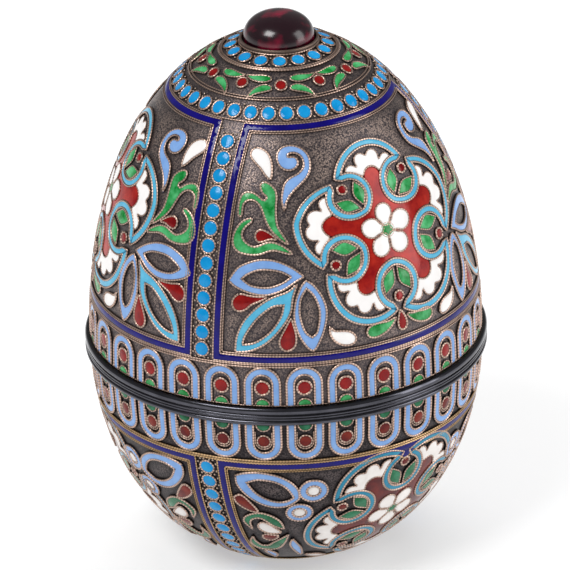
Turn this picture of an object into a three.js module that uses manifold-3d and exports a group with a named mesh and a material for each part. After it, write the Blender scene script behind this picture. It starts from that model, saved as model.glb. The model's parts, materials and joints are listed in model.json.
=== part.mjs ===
// Jewelled egg: a silver egg in two halves, covered in raised filigree and enamel, with a
// garnet cabochon in a plain collet on top. The lid lifts off the base; there is no hinge.
// Millimetres, +Z up. The origin is the centre of the flat foot, and one of the three
// panels of each half faces -Y. Heights in this file are measured from the seam between
// the halves, and every mesh is raised by the height of the seam at the end.
import * as THREE from 'three';
import { mergeVertices } from 'three/addons/utils/BufferGeometryUtils.js';
import Module from 'manifold-3d';

const wasm = await Module();
wasm.setup();

// The egg's outline, over the tops of the wires
const eggRadius = 36;
const lidReach = 58.7;
const lidTaper = 2.2;
const lidFullness = 1.98;
const baseReach = 42;
const baseTaper = 2.04;
const baseFullness = 2.39;
const footRadius = 14;

// Walls and relief
const wall = 1.2;
const reliefHeight = 0.55;
const reliefRoot = 0.35;

// Plain rims at the seam, and the tongue on the base that the lid slides over
const rimProud = 0.8;
const lidRimHeight = 1.9;
const baseRimHeight = 1.5;
const tongueHeight = 2.6;
const tongueThickness = 0.9;
const slidingGap = 0.3;

// Stone and collet
const stoneRadius = 6.35;
const stoneDome = 4.7;
const girdleHeight = 1.1;
const colletThickness = 0.5;
const colletLip = 0.5;
const settingGap = 0.3;

// Arcade of round-headed arches above and below the rims
const archesPerPanel = 10;
const archHalfWidth = 3.1;
const archLength = 7.7;
const archGap = 0.3;
const archRises = [45, 75];

// Panels, pilasters and the bands that frame them. Distances along the egg's surface.
const panelCount = 3;
const pilasterHalfWidth = 3.8;
const frameBandWidth = 1.8;
const frameGap = 0.5;
const capBandReach = 24;
const leafBandReach = 17.6;
const dotBandReach = 11.1;
const capWireWidth = 1.1;

// Rosette in the middle of each panel
const rosetteLobes = 5;
const lobeReach = 16.2;
const notchReach = 12.5;
const plateSink = 0.2;
const eyeReach = 9.3;
const eyeRadius = 4.3;
const flowerRadius = 4.2;
const lidRosetteHeight = 31.1;
const baseRosetteDepth = 24.9;

// Facets
const groundFacets = 30;
const rimFacets = 40;
const hollowFacets = 24;
const hollowSteps = 4;
const lobeSteps = 3;
const stoneFacets = 20;

const weldDistance = 1e-3;
const bisections = 40;

// Meridian of the egg: the radius at a height from the seam
function outlineRadius(height) {
  const [reach, taper, fullness] =
    height >= 0 ? [lidReach, lidTaper, lidFullness] : [baseReach, baseTaper, baseFullness];
  const share = Math.min(Math.abs(height) / reach, 1);
  return eggRadius * Math.pow(1 - Math.pow(share, taper), 1 / fullness);
}

// A point of the meridian, sunk below it along its normal. The turn runs from -90 degrees
// at the bottom through 0 at the seam to 90 at the top.
function meridianPoint(turn, sink) {
  const step = 1e-4;
  const at = (t) => {
    const limited = THREE.MathUtils.clamp(t, -Math.PI / 2, Math.PI / 2);
    const height = (limited >= 0 ? lidReach : baseReach) * Math.sin(limited);
    return new THREE.Vector2(outlineRadius(height), height);
  };
  const along = at(turn + step).sub(at(turn - step)).normalize();
  const point = at(turn);
  return new THREE.Vector2(point.x - along.y * sink, point.y + along.x * sink);
}

function turnAtHeight(height) {
  const reach = height >= 0 ? lidReach : baseReach;
  return Math.asin(THREE.MathUtils.clamp(height / reach, -1, 1));
}

// Lengths along the meridian from the seam, tabulated once for each half
const surveySteps = 2000;

function surveyMeridian(side) {
  const table = [{ length: 0, turn: 0 }];
  let last = meridianPoint(0, 0);
  for (let i = 1; i <= surveySteps; i++) {
    const turn = (side * Math.PI / 2) * (i / surveySteps);
    const point = meridianPoint(turn, 0);
    table.push({ length: table[i - 1].length + point.distanceTo(last), turn });
    last = point;
  }
  return table;
}

const lidSurvey = surveyMeridian(1);
const baseSurvey = surveyMeridian(-1);
const lidArc = lidSurvey[surveySteps].length;

// The turn of the meridian at a length from the seam, negative on the base
function turnAtLength(length) {
  const table = length >= 0 ? lidSurvey : baseSurvey;
  const wanted = Math.abs(length);
  const i = Math.max(1, table.findIndex((row) => row.length >= wanted));
  const [a, b] = [table[i - 1], table[i]];
  return a.turn + (b.turn - a.turn) * (wanted - a.length) / (b.length - a.length);
}

// The turn between two others at which the sunk meridian passes a height
function turnAtSunkHeight(height, sink, low, high) {
  for (let i = 0; i < bisections; i++) {
    const middle = (low + high) / 2;
    if (meridianPoint(middle, sink).y < height) low = middle;
    else high = middle;
  }
  return (low + high) / 2;
}

const footHeight = -baseReach
  * Math.pow(1 - Math.pow(footRadius / eggRadius, baseFullness), 1 / baseTaper);

// Solids

function signedVolume(position, index) {
  const [a, b, c] = [new THREE.Vector3(), new THREE.Vector3(), new THREE.Vector3()];
  let volume = 0;
  for (let i = 0; i < index.length; i += 3) {
    a.fromBufferAttribute(position, index[i]);
    b.fromBufferAttribute(position, index[i + 1]);
    c.fromBufferAttribute(position, index[i + 2]);
    volume += a.dot(b.cross(c)) / 6;
  }
  return volume;
}

// Welds a geometry, drops the triangles that have closed up, and makes it a solid
function solidFrom(geometry) {
  geometry.deleteAttribute('normal');
  geometry.deleteAttribute('uv');
  const welded = mergeVertices(geometry, weldDistance);
  const index = [];
  for (let i = 0; i < welded.index.count; i += 3) {
    const corners = [0, 1, 2].map((k) => welded.index.getX(i + k));
    if (new Set(corners).size === corners.length) index.push(...corners);
  }
  const position = welded.attributes.position;
  if (signedVolume(position, index) < 0) index.reverse();
  return new wasm.Manifold(new wasm.Mesh({
    numProp: 3,
    vertProperties: Float32Array.from(position.array),
    triVerts: Uint32Array.from(index),
  }));
}

function geometryFrom(solid) {
  const mesh = solid.getMesh();
  const geometry = new THREE.BufferGeometry();
  geometry.setAttribute('position', new THREE.BufferAttribute(mesh.vertProperties, 3));
  geometry.setIndex(new THREE.BufferAttribute(mesh.triVerts, 1));
  geometry.computeVertexNormals();
  return geometry;
}

function turned(profile, facets) {
  const geometry = new THREE.LatheGeometry(profile, facets);
  geometry.rotateX(Math.PI / 2);
  return solidFrom(geometry);
}

function joined(solids) {
  return solids.reduce((whole, solid) => whole.add(solid));
}

// Places on the egg's surface

function aroundAxis(radius, angle, height) {
  return new THREE.Vector3(radius * Math.sin(angle), -radius * Math.cos(angle), height);
}

// Lays a flat drawing on the egg round an anchor: x runs east along the surface and y
// north, and the drawing keeps its lengths near the anchor.
function drawingAt(angle, height) {
  const turn = turnAtHeight(height);
  const onSurface = meridianPoint(turn, 0);
  const below = meridianPoint(turn, 1);
  const slope = Math.atan2(onSurface.y - below.y, onSurface.x - below.x);
  const reach = onSurface.x / Math.cos(slope);
  const centreHeight = onSurface.y - reach * Math.sin(slope);
  const radial = aroundAxis(1, angle, 0);
  const east = aroundAxis(1, angle + Math.PI / 2, 0);
  const up = new THREE.Vector3(0, 0, 1);
  const outward = radial.clone().multiplyScalar(Math.cos(slope))
    .addScaledVector(up, Math.sin(slope));
  const north = radial.clone().multiplyScalar(-Math.sin(slope))
    .addScaledVector(up, Math.cos(slope));
  return (x, y, lift) => {
    const distance = Math.hypot(x, y);
    const opening = distance / reach;
    const heading = Math.atan2(y, x);
    const ray = outward.clone().multiplyScalar(Math.cos(opening))
      .addScaledVector(east, Math.sin(opening) * Math.cos(heading))
      .addScaledVector(north, Math.sin(opening) * Math.sin(heading));
    const flatRay = Math.hypot(ray.x, ray.y);
    let [near, far] = [reach * 0.3, reach * 2];
    for (let i = 0; i < bisections; i++) {
      const middle = (near + far) / 2;
      const outside = flatRay * middle > outlineRadius(centreHeight + middle * ray.z);
      if (outside) far = middle;
      else near = middle;
    }
    const place = ray.clone().multiplyScalar(near + lift);
    place.z += centreHeight;
    return place;
  };
}

// Lays a drawing along a meridian: x is the distance to its side and y the length from
// the seam.
function drawingAlong(angle) {
  return (x, y, lift) => {
    const point = meridianPoint(turnAtLength(y), -lift);
    return aroundAxis(point.x, angle + x / point.x, point.y);
  };
}

// A raised strip: pairs of left and right points on a drawing, from its root inside the
// wall up to the wire tops
function strip(place, pairs) {
  const root = -reliefHeight - reliefRoot;
  const points = pairs.flatMap(([left, right]) => [
    place(...left, 0), place(...right, 0), place(...right, root), place(...left, root),
  ]);
  const index = [];
  const quad = (a, b, c, d) => index.push(a, b, c, a, c, d);
  for (let i = 0; i + 1 < pairs.length; i++) {
    for (let side = 0; side < 4; side++) {
      const next = (side + 1) % 4;
      quad(4 * i + side, 4 * i + next, 4 * i + 4 + next, 4 * i + 4 + side);
    }
  }
  const end = 4 * (pairs.length - 1);
  quad(3, 2, 1, 0);
  quad(end, end + 1, end + 2, end + 3);
  const geometry = new THREE.BufferGeometry().setFromPoints(points);
  geometry.setIndex(index);
  return solidFrom(geometry);
}

// Pairs for a strip along a centre line: centre(t) and halfWidth(t) for t from 0 to 1
function pairsAlong(centre, halfWidth, steps) {
  const step = 1e-3;
  return Array.from({ length: steps + 1 }, (_, i) => {
    const t = i / steps;
    const middle = centre(t);
    const along = centre(t + step).sub(centre(t - step)).normalize();
    const across = new THREE.Vector2(-along.y, along.x).multiplyScalar(halfWidth(t));
    return [
      middle.clone().add(across).toArray(),
      middle.clone().sub(across).toArray(),
    ];
  });
}

// A raised plate with an outline round the drawing's origin, a step below the wire tops
function plate(place, outline) {
  const count = outline.length;
  const root = -reliefHeight - reliefRoot;
  const rings = [[1, root], [1, -plateSink], [0.5, -plateSink]];
  const points = rings.flatMap(([share, lift]) =>
    outline.map(([x, y]) => place(x * share, y * share, lift)));
  const [top, bottom] = [points.length, points.length + 1];
  points.push(place(0, 0, -plateSink), place(0, 0, root));
  const index = [];
  for (let i = 0; i < count; i++) {
    const next = (i + 1) % count;
    for (const ring of [0, count]) {
      index.push(ring + i, ring + next, ring + count + next);
      index.push(ring + i, ring + count + next, ring + count + i);
    }
    index.push(2 * count + i, 2 * count + next, top, next, i, bottom);
  }
  const geometry = new THREE.BufferGeometry().setFromPoints(points);
  geometry.setIndex(index);
  return solidFrom(geometry);
}

function disc(place, x, y, radius, steps) {
  const centre = (t) => new THREE.Vector2(x - radius * Math.cos(Math.PI * t), y);
  return strip(place, pairsAlong(centre, (t) => radius * Math.sin(Math.PI * t), steps));
}

// Parts of the relief

// Round-headed arches standing on a rim, one in every share of the circle
function arcade(side, rimHeight) {
  const archCount = archesPerPanel * panelCount;
  const spring = archLength - archHalfWidth;
  const outline = [[archHalfWidth, archGap], [archHalfWidth, spring]];
  for (const degrees of archRises) {
    const rise = THREE.MathUtils.degToRad(degrees);
    outline.push([archHalfWidth * Math.cos(rise), spring + archHalfWidth * Math.sin(rise)]);
  }
  return Array.from({ length: archCount }, (_, i) => {
    const place = drawingAlong((i + 0.5) * 2 * Math.PI / archCount);
    const pairs = outline.map(([x, y]) => {
      const length = side * (rimHeight + y);
      return [[-x, length], [x, length]];
    });
    return strip(place, pairs);
  });
}

// A five-lobed plate, with a flower in the middle and a round eye at each notch
function rosette(place, heading) {
  const sector = 2 * Math.PI / rosetteLobes;
  const outline = [];
  const bosses = [disc(place, 0, 0, flowerRadius, 3)];
  for (let i = 0; i < rosetteLobes; i++) {
    const eyeTurn = heading + (i - 0.5) * sector;
    bosses.push(disc(
      place, eyeReach * Math.cos(eyeTurn), eyeReach * Math.sin(eyeTurn), eyeRadius, 3,
    ));
    for (let k = 0; k < lobeSteps; k++) {
      const share = k / lobeSteps;
      const reach = notchReach + (lobeReach - notchReach) * Math.sin(Math.PI * share);
      const turn = eyeTurn + share * sector;
      outline.push([reach * Math.cos(turn), reach * Math.sin(turn)]);
    }
  }
  return [plate(place, outline), ...bosses];
}

// A pilaster between two panels, from one length to another along its meridian
function pilaster(angle, from, to, steps) {
  const centre = (t) => new THREE.Vector2(0, from + (to - from) * t);
  return strip(drawingAlong(angle), pairsAlong(centre, () => pilasterHalfWidth, steps));
}

// Profiles

// Points of a half's ground, below the wire tops, between two lengths from the seam
function groundPoints(from, to, steps) {
  return Array.from({ length: steps + 1 }, (_, i) =>
    meridianPoint(turnAtLength(from + (to - from) * i / steps), reliefHeight));
}

// A raised band of the profile between two lengths from the seam
function bandPoints(from, to) {
  const [a, b] = [turnAtLength(from), turnAtLength(to)];
  return [
    meridianPoint(a, reliefHeight), meridianPoint(a, 0),
    meridianPoint(b, 0), meridianPoint(b, reliefHeight),
  ];
}

// The hollow inside a half, between the plane of its mouth and its flat end
function hollow(mouthHeight, endHeight) {
  const sink = reliefHeight + wall;
  const side = Math.sign(endHeight);
  const range = side > 0 ? [0, Math.PI / 2] : [-Math.PI / 2, 0];
  const [from, to] = [mouthHeight, endHeight].map((h) => turnAtSunkHeight(h, sink, ...range));
  const profile = [new THREE.Vector2(0, mouthHeight)];
  for (let i = 0; i <= hollowSteps; i++) {
    profile.push(meridianPoint(from + (to - from) * i / hollowSteps, sink));
  }
  profile[1].y = mouthHeight;
  profile[profile.length - 1].y = endHeight;
  profile.push(new THREE.Vector2(0, endHeight));
  return turned(profile, hollowFacets);
}

// Pieces

const innerRadius = eggRadius - reliefHeight - wall;
const frameStart = archLength + frameGap;
const colletOuter = stoneRadius + settingGap + colletThickness;

// Height of the flat seat for the stone, where the ground has the collet's radius
function seatHeight() {
  let [low, high] = [0, Math.PI / 2];
  for (let i = 0; i < bisections; i++) {
    const middle = (low + high) / 2;
    if (meridianPoint(middle, reliefHeight).x > colletOuter) low = middle;
    else high = middle;
  }
  return meridianPoint(low, reliefHeight).y;
}

const stoneSeat = seatHeight();

function lidShell() {
  const bandStart = lidRimHeight + frameStart;
  const capBandEnd = lidArc - capBandReach + frameBandWidth;
  const foot = groundPoints(0, lidRimHeight, 1)[1];
  const profile = [
    new THREE.Vector2(0, lidRimHeight),
    new THREE.Vector2(foot.x, lidRimHeight),
    ...bandPoints(bandStart, bandStart + frameBandWidth),
    ...groundPoints(bandStart + frameBandWidth, lidArc - capBandReach, 6).slice(1, -1),
    ...bandPoints(lidArc - capBandReach, capBandEnd),
    ...bandPoints(lidArc - leafBandReach, lidArc - leafBandReach + capWireWidth),
    ...bandPoints(lidArc - dotBandReach, lidArc - dotBandReach + capWireWidth),
    new THREE.Vector2(colletOuter, stoneSeat),
    new THREE.Vector2(0, stoneSeat),
  ];
  const body = turned(profile, groundFacets);
  const relief = [...arcade(1, lidRimHeight)];
  for (let i = 0; i < panelCount; i++) {
    const panelAngle = i * 2 * Math.PI / panelCount;
    const place = drawingAt(panelAngle, lidRosetteHeight);
    relief.push(...rosette(place, Math.PI / 2));
    relief.push(pilaster(
      panelAngle + Math.PI / panelCount, bandStart + frameBandWidth / 2,
      lidArc - capBandReach + frameBandWidth / 2, 6,
    ));
  }
  const whole = joined([body, ...relief]);
  return whole.subtract(hollow(lidRimHeight, stoneSeat - wall));
}

function baseShell() {
  const bandStart = -(baseRimHeight + frameStart);
  const footLength = baseSurvey.find((row) => meridianPoint(row.turn, 0).y <= footHeight).length;
  const top = groundPoints(0, -baseRimHeight, 1)[1];
  const profile = [
    new THREE.Vector2(0, -baseRimHeight),
    new THREE.Vector2(top.x, -baseRimHeight),
    ...bandPoints(bandStart, bandStart - frameBandWidth),
    ...groundPoints(bandStart - frameBandWidth, -footLength, 5).slice(1, -1),
    new THREE.Vector2(footRadius, footHeight),
    new THREE.Vector2(0, footHeight),
  ];
  const body = turned(profile, groundFacets);
  const relief = [...arcade(-1, baseRimHeight)];
  for (let i = 0; i < panelCount; i++) {
    const panelAngle = i * 2 * Math.PI / panelCount;
    const place = drawingAt(panelAngle, -baseRosetteDepth);
    relief.push(...rosette(place, -Math.PI / 2));
    relief.push(pilaster(
      panelAngle + Math.PI / panelCount, bandStart - frameBandWidth / 2,
      -footLength + frameBandWidth, 5,
    ));
  }
  const whole = joined([body, ...relief]);
  return whole.subtract(hollow(-baseRimHeight, footHeight + wall));
}

// A plain rim with a rounded outer face, from one height to another
function rimProfile(low, high) {
  const outer = eggRadius + rimProud;
  const edge = 0.35;
  return [
    new THREE.Vector2(innerRadius, low),
    new THREE.Vector2(outer - edge, low),
    new THREE.Vector2(outer, low + edge),
    new THREE.Vector2(outer, high - edge),
    new THREE.Vector2(outer - edge, high),
    new THREE.Vector2(innerRadius, high),
  ];
}

function lidRim() {
  const profile = rimProfile(0, lidRimHeight);
  return turned([...profile, profile[0].clone()], rimFacets);
}

function baseRim() {
  const tongueOuter = innerRadius * Math.cos(Math.PI / hollowFacets) - slidingGap;
  const tongueInner = tongueOuter - tongueThickness;
  const [inside, ...outside] = rimProfile(-baseRimHeight, 0);
  const profile = [
    new THREE.Vector2(tongueInner, inside.y),
    ...outside.slice(0, -1),
    new THREE.Vector2(tongueOuter, 0),
    new THREE.Vector2(tongueOuter, tongueHeight),
    new THREE.Vector2(tongueInner, tongueHeight),
    new THREE.Vector2(tongueInner, inside.y),
  ];
  return turned(profile, rimFacets);
}

function collet() {
  const inner = stoneRadius + settingGap;
  const top = stoneSeat + girdleHeight + colletLip;
  return turned([
    new THREE.Vector2(inner, stoneSeat),
    new THREE.Vector2(colletOuter, stoneSeat),
    new THREE.Vector2(colletOuter, top - colletThickness / 2),
    new THREE.Vector2(colletOuter - colletThickness / 2, top),
    new THREE.Vector2(inner, top - colletThickness / 2),
    new THREE.Vector2(inner, stoneSeat),
  ], stoneFacets);
}

function stone() {
  const profile = [new THREE.Vector2(0, stoneSeat), new THREE.Vector2(stoneRadius, stoneSeat)];
  const steps = 5;
  for (let i = 0; i <= steps; i++) {
    const rise = (Math.PI / 2) * (i / steps);
    profile.push(new THREE.Vector2(
      i < steps ? stoneRadius * Math.cos(rise) : 0,
      stoneSeat + girdleHeight + stoneDome * Math.sin(rise),
    ));
  }
  return turned(profile, stoneFacets);
}

// Finishes

const silver = new THREE.MeshStandardMaterial({ color: 0x6a5d55, roughness: 0.45, metalness: 1 });
const rimSilver = new THREE.MeshStandardMaterial({ color: 0x3a3735, roughness: 0.2, metalness: 1 });
const giltSilver = new THREE.MeshStandardMaterial({ color: 0xa08468, roughness: 0.35, metalness: 1 });
const garnet = new THREE.MeshStandardMaterial({ color: 0x3a0612, roughness: 0.05, metalness: 0 });

// The egg

const group = new THREE.Group();
group.position.z = -footHeight;

function addPiece(name, solid, material) {
  const mesh = new THREE.Mesh(geometryFrom(solid), material);
  mesh.name = name;
  group.add(mesh);
}

addPiece('base_shell', baseShell(), silver);
addPiece('base_rim', baseRim(), rimSilver);
addPiece('lid_shell', lidShell(), silver);
addPiece('lid_rim', lidRim(), rimSilver);
addPiece('stone_collet', collet(), giltSilver);
addPiece('garnet_cabochon', stone(), garnet);

export default group;
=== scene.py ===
# %% [markdown]
# # A jewelled egg
# The real object is a silver egg in two halves. A craftsman soldered twisted wires onto a
# stippled silver ground, filled the cells between them with enamel, and set a garnet on
# top. This notebook dresses the plain solids of the egg: a smooth ground for each half,
# wires that follow drawn lines over the surface, domed enamel in the cells, two polished
# rims and the stone. Lengths in the drawings are in millimetres.

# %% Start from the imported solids
import json
import math

import bpy
import bmesh
import numpy as np
from mathutils import Matrix, Vector
from mathutils.kdtree import KDTree

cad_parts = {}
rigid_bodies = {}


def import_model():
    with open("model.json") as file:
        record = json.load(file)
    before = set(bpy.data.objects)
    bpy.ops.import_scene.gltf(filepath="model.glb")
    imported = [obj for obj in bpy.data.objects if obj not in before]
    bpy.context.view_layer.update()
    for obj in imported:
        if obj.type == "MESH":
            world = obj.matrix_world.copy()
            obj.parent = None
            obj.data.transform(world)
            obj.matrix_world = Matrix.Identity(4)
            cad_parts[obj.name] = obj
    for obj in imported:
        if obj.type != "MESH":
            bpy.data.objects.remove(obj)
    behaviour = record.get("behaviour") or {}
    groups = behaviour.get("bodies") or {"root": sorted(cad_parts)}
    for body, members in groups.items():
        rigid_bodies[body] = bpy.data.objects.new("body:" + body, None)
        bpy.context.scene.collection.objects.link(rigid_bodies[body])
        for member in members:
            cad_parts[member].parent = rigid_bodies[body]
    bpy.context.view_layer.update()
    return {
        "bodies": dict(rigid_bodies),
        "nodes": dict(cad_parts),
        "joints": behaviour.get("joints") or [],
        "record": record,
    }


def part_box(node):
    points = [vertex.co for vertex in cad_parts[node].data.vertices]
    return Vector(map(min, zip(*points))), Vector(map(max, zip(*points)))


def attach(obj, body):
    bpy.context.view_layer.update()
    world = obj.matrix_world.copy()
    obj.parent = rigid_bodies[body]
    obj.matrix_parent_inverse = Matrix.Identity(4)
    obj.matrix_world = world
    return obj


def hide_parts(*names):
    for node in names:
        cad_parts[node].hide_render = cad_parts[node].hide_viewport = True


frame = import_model()
MM = 0.001
print("nodes:", sorted(frame["nodes"]))

# %% [markdown]
# ## The egg's outline
# Everything lies on one surface of revolution, so the outline is written once, as a
# formula for each half, with a table of points, normals and lengths along the meridian.
# The seam's height comes from the solids. A formula keeps every wire and cell exactly on
# the surface, which modelling by eye could not do.

# %% Outline and meridian
EGG_RADIUS = 36.0
LID_REACH, LID_TAPER, LID_FULLNESS = 58.7, 2.2, 1.98
BASE_REACH, BASE_TAPER, BASE_FULLNESS = 42.0, 2.04, 2.39
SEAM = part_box("lid_rim")[0].z / MM
FOOT_RADIUS = 14.0


def outline_radius(height):
    """Radius over the wire tops, at a height from the seam."""
    height = np.asarray(height, float)
    lid = 1 - np.clip(height / LID_REACH, 0, 1) ** LID_TAPER
    base = 1 - np.clip(-height / BASE_REACH, 0, 1) ** BASE_TAPER
    return EGG_RADIUS * np.where(
        height >= 0, lid ** (1 / LID_FULLNESS), base ** (1 / BASE_FULLNESS)
    )


turns = np.linspace(-math.pi / 2, math.pi / 2, 8001)
heights = np.where(turns < 0, BASE_REACH, LID_REACH) * np.sin(turns)
radii = outline_radius(heights)
steps = np.hypot(np.diff(heights), np.diff(radii))
lengths = np.concatenate([[0], np.cumsum(steps)])
lengths -= np.interp(0, heights, lengths)
slopes = np.arctan2(np.gradient(-radii), np.gradient(heights))
LID_ARC = lengths[-1]
FOOT_ARC = float(np.interp(FOOT_RADIUS, radii[turns < 0], lengths[turns < 0]))
print(f"meridian: {LID_ARC:.1f} mm on the lid, foot at {FOOT_ARC:.1f} mm")


def meridian(length, lift):
    """Radius and height at a length from the seam, lifted off the wire tops."""
    radius = np.interp(length, lengths, radii)
    height = np.interp(length, lengths, heights)
    slope = np.interp(length, lengths, slopes)
    return radius + lift * np.cos(slope), height + lift * np.sin(slope)


def around(radius, angle, height):
    """A place at an angle round the axis, counted from the front panel, in metres."""
    return np.stack([radius * np.sin(angle), -radius * np.cos(angle), height + SEAM], -1) * MM


# %% [markdown]
# ## Four ways to lay a drawing on the egg
# A motif such as a rosette is drawn flat, the way the craftsman would sketch it, and then
# laid on the egg around an anchor so that it keeps its lengths there. Pilasters and arches
# follow the meridian instead, frames go by the angle round the axis, and the cap is drawn
# as seen from above.

# %% Laying drawings on the surface
def laid_at(angle, anchor_height):
    """A flat drawing round an anchor, x to the east and y to the north."""
    length = np.interp(anchor_height, heights, lengths)
    radius, _ = meridian(length, 0)
    slope = float(np.interp(length, lengths, slopes))
    reach = radius / math.cos(slope)
    centre = anchor_height - reach * math.sin(slope)
    radial = np.array([math.sin(angle), -math.cos(angle), 0])
    east = np.array([math.cos(angle), math.sin(angle), 0])
    up = np.array([0, 0, 1.0])
    outward = radial * math.cos(slope) + up * math.sin(slope)
    north = up * math.cos(slope) - radial * math.sin(slope)

    def place(x, y, lift):
        opening = np.hypot(x, y) / reach
        heading = np.arctan2(y, x)
        ray = (np.cos(opening)[:, None] * outward
               + (np.sin(opening) * np.cos(heading))[:, None] * east
               + (np.sin(opening) * np.sin(heading))[:, None] * north)
        flat = np.hypot(ray[:, 0], ray[:, 1])
        near, far = np.full(len(ray), reach * 0.3), np.full(len(ray), reach * 2)
        for _ in range(32):
            middle = (near + far) / 2
            outside = flat * middle > outline_radius(centre + middle * ray[:, 2])
            near, far = np.where(outside, near, middle), np.where(outside, middle, far)
        point = ray * (near + lift)[:, None]
        return (point + np.array([0, 0, centre + SEAM])) * MM

    return place


def laid_along(angle):
    """A drawing along a meridian: x to its side, y the length from the seam."""
    def place(x, y, lift):
        radius, height = meridian(y, lift)
        return around(radius, angle + x / np.interp(y, lengths, radii), height)
    return place


def laid_round(angle):
    """A drawing with x as the angle times the egg's radius and y the length from the seam."""
    def place(x, y, lift):
        radius, height = meridian(y, lift)
        return around(radius, angle + x / EGG_RADIUS, height)
    return place


def laid_on_cap(x, y, lift):
    """A drawing seen from above, with its origin at the top of the lid."""
    radius, height = meridian(LID_ARC - np.hypot(x, y), lift)
    return around(radius, np.arctan2(x, -y), height)


# %% [markdown]
# ## Drawing tools
# A craftsman bends each wire round pins and pliers: arcs, circles, S-curves and drops.
# The helpers below give the same few shapes as rows of points. A stroke is a spine with
# half widths, as a brush makes it, and gives the outline of a leaf, drop or scroll.

# %% Lines, arcs and strokes
FINE = 0.36


def spaced(path, step, closed=False, count=0):
    """The same line with points at an even step, or with a set number of them."""
    path = np.asarray(path, float)
    if closed:
        path = np.vstack([path, path[:1]])
    run = np.concatenate([[0], np.cumsum(np.linalg.norm(np.diff(path, axis=0), axis=1))])
    count = count or max(int(round(run[-1] / step)), 3)
    wanted = np.linspace(0, run[-1], count + 1)
    if closed:
        wanted = wanted[:-1]
    return np.stack([np.interp(wanted, run, path[:, k]) for k in range(path.shape[1])], -1)


def curve(points, closed=False, per=8):
    """A smooth line through points."""
    points = np.asarray(points, float)
    if closed:
        points = np.vstack([points[-1:], points, points[:2]])
    else:
        points = np.vstack([2 * points[0] - points[1], points, 2 * points[-1] - points[-2]])
    rows = []
    for a, b, c, d in zip(points, points[1:], points[2:], points[3:]):
        t = np.arange(per)[:, None] / per
        rows.append(0.5 * (2 * b + (c - a) * t + (2 * a - 5 * b + 4 * c - d) * t ** 2
                           + (3 * b - a - 3 * c + d) * t ** 3))
    if not closed:
        rows.append(points[-2:-1])
    return np.vstack(rows)


def arc(x, y, radius, start, end):
    """Part of a circle, between two angles in degrees."""
    count = max(int(abs(end - start) / 360 * 2 * math.pi * radius / FINE), 4)
    turn = np.radians(np.linspace(start, end, count + 1))
    return np.stack([x + radius * np.cos(turn), y + radius * np.sin(turn)], -1)


def circle(x, y, radius):
    return arc(x, y, radius, 0, 360)[:-1]


def stroke(spine, widths):
    """The outline of a brush stroke: round where an end has a width, pointed where not."""
    spine = np.asarray(spine, float)
    line = curve(spine)
    width = curve([(w, 0) for w in widths])[:, 0].clip(0)
    along = np.gradient(line, axis=0)
    along /= np.linalg.norm(along, axis=1)[:, None]
    across = np.stack([-along[:, 1], along[:, 0]], -1) * width[:, None]
    left, right = line + across, line - across
    parts = [left[1:-1]]
    for end, way in ((-1, 1), (0, -1)):
        if widths[end] > 0:
            turn = math.degrees(math.atan2(*(way * along[end])[::-1]))
            parts.append(arc(*line[end], width[end], turn + 90, turn - 90))
        else:
            parts.append(line[end:][:1] if end else line[:1])
        if end:
            parts.append(right[1:-1][::-1])
    return np.vstack(parts)


def lens(tip, other, out, back):
    """A pointed oval: two tips, and the points of the way out and of the way back."""
    return np.vstack([curve([tip, *out, other])[:-1], curve([other, *back, tip])[:-1]])


def spun(path, degrees):
    turn = math.radians(degrees)
    c, s = math.cos(turn), math.sin(turn)
    return np.asarray(path, float) @ np.array([[c, s], [-s, c]])


def moved(path, x, y):
    return np.asarray(path, float) + (x, y)


def mirrored(path):
    return (np.asarray(path, float) * (-1, 1))[::-1]


# %% [markdown]
# ## A sheet of drawing
# One sheet collects the wires and the enamel cells of a motif. The cells are kept by
# colour, because each colour becomes one piece with its own glaze.

# %% Sheets that collect wires and cells
WIRE = 0.235
WIRE_LIFT = -0.27
GROUND_LIFT = -0.5


class Sheet:
    """Wires, and cells and rings by colour, as lines in the drawing."""
    def __init__(self):
        self.wires = []
        self.cells = {}
        self.rings = {}

    def wire(self, path, closed=False, radius=WIRE):
        self.wires.append((np.asarray(path, float), closed, radius))

    def cell(self, colour, outline, edge=True, radius=WIRE):
        """A filled cell with a wire round it."""
        self.cells.setdefault(colour, []).append(spaced(outline, FINE, True))
        if edge:
            self.wire(outline, True, radius)

    def ring(self, colour, outer, inner, radius=WIRE):
        """A filled band between two closed lines, with a wire on each."""
        count = max(len(spaced(outer, FINE * 1.5, True)), 12)
        band = [spaced(line, FINE, True, count) for line in (outer, inner)]
        self.rings.setdefault(colour, []).append(band)
        self.wire(outer, True, radius)
        self.wire(inner, True, radius)

    def dot(self, colour, x, y, radius, collar=WIRE):
        """A round cell in a wire collar."""
        self.cell(colour, circle(x, y, radius), radius=collar)

    def add(self, other, change=lambda path: path):
        """Adds what another sheet holds, with each line changed, such as moved or mirrored."""
        for path, closed, radius in other.wires:
            self.wires.append((change(path), closed, radius))
        for colour, outlines in other.cells.items():
            self.cells.setdefault(colour, []).extend(change(path) for path in outlines)
        for colour, pairs in other.rings.items():
            changed = [[change(outer), change(inner)] for outer, inner in pairs]
            self.rings.setdefault(colour, []).extend(changed)

    def both(self, draw):
        """Draws something, and its mirror image across the y axis."""
        half = Sheet()
        draw(half)
        self.add(half)
        self.add(half, mirrored)


# %% [markdown]
# ## From wires to mesh
# A filigree wire is two thin wires twisted together, so it looks like a row of beads.
# Sweeping a square section that turns an eighth of a turn at every step, and swells at
# every other one, gives that look with few faces, where a real two-strand twist would need
# ten times as many. A value called bead marks the swellings, so that the finish can
# brighten them, partly as wear and partly as painted shade in the necks between them, and
# the list called soldered keeps every wire for the patina and painted shade beside it.

# %% Sweep the wires
BEAD_STEP = 0.28
SWELL, NECK = 1.12, 0.8
SECTION = 4
soldered = []


def keep_values(mesh, name, values):
    """Keeps one number for each point of a mesh, for the materials to read."""
    marks = mesh.attributes.new(name, "FLOAT", "POINT")
    marks.data.foreach_set("value", values)


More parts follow.
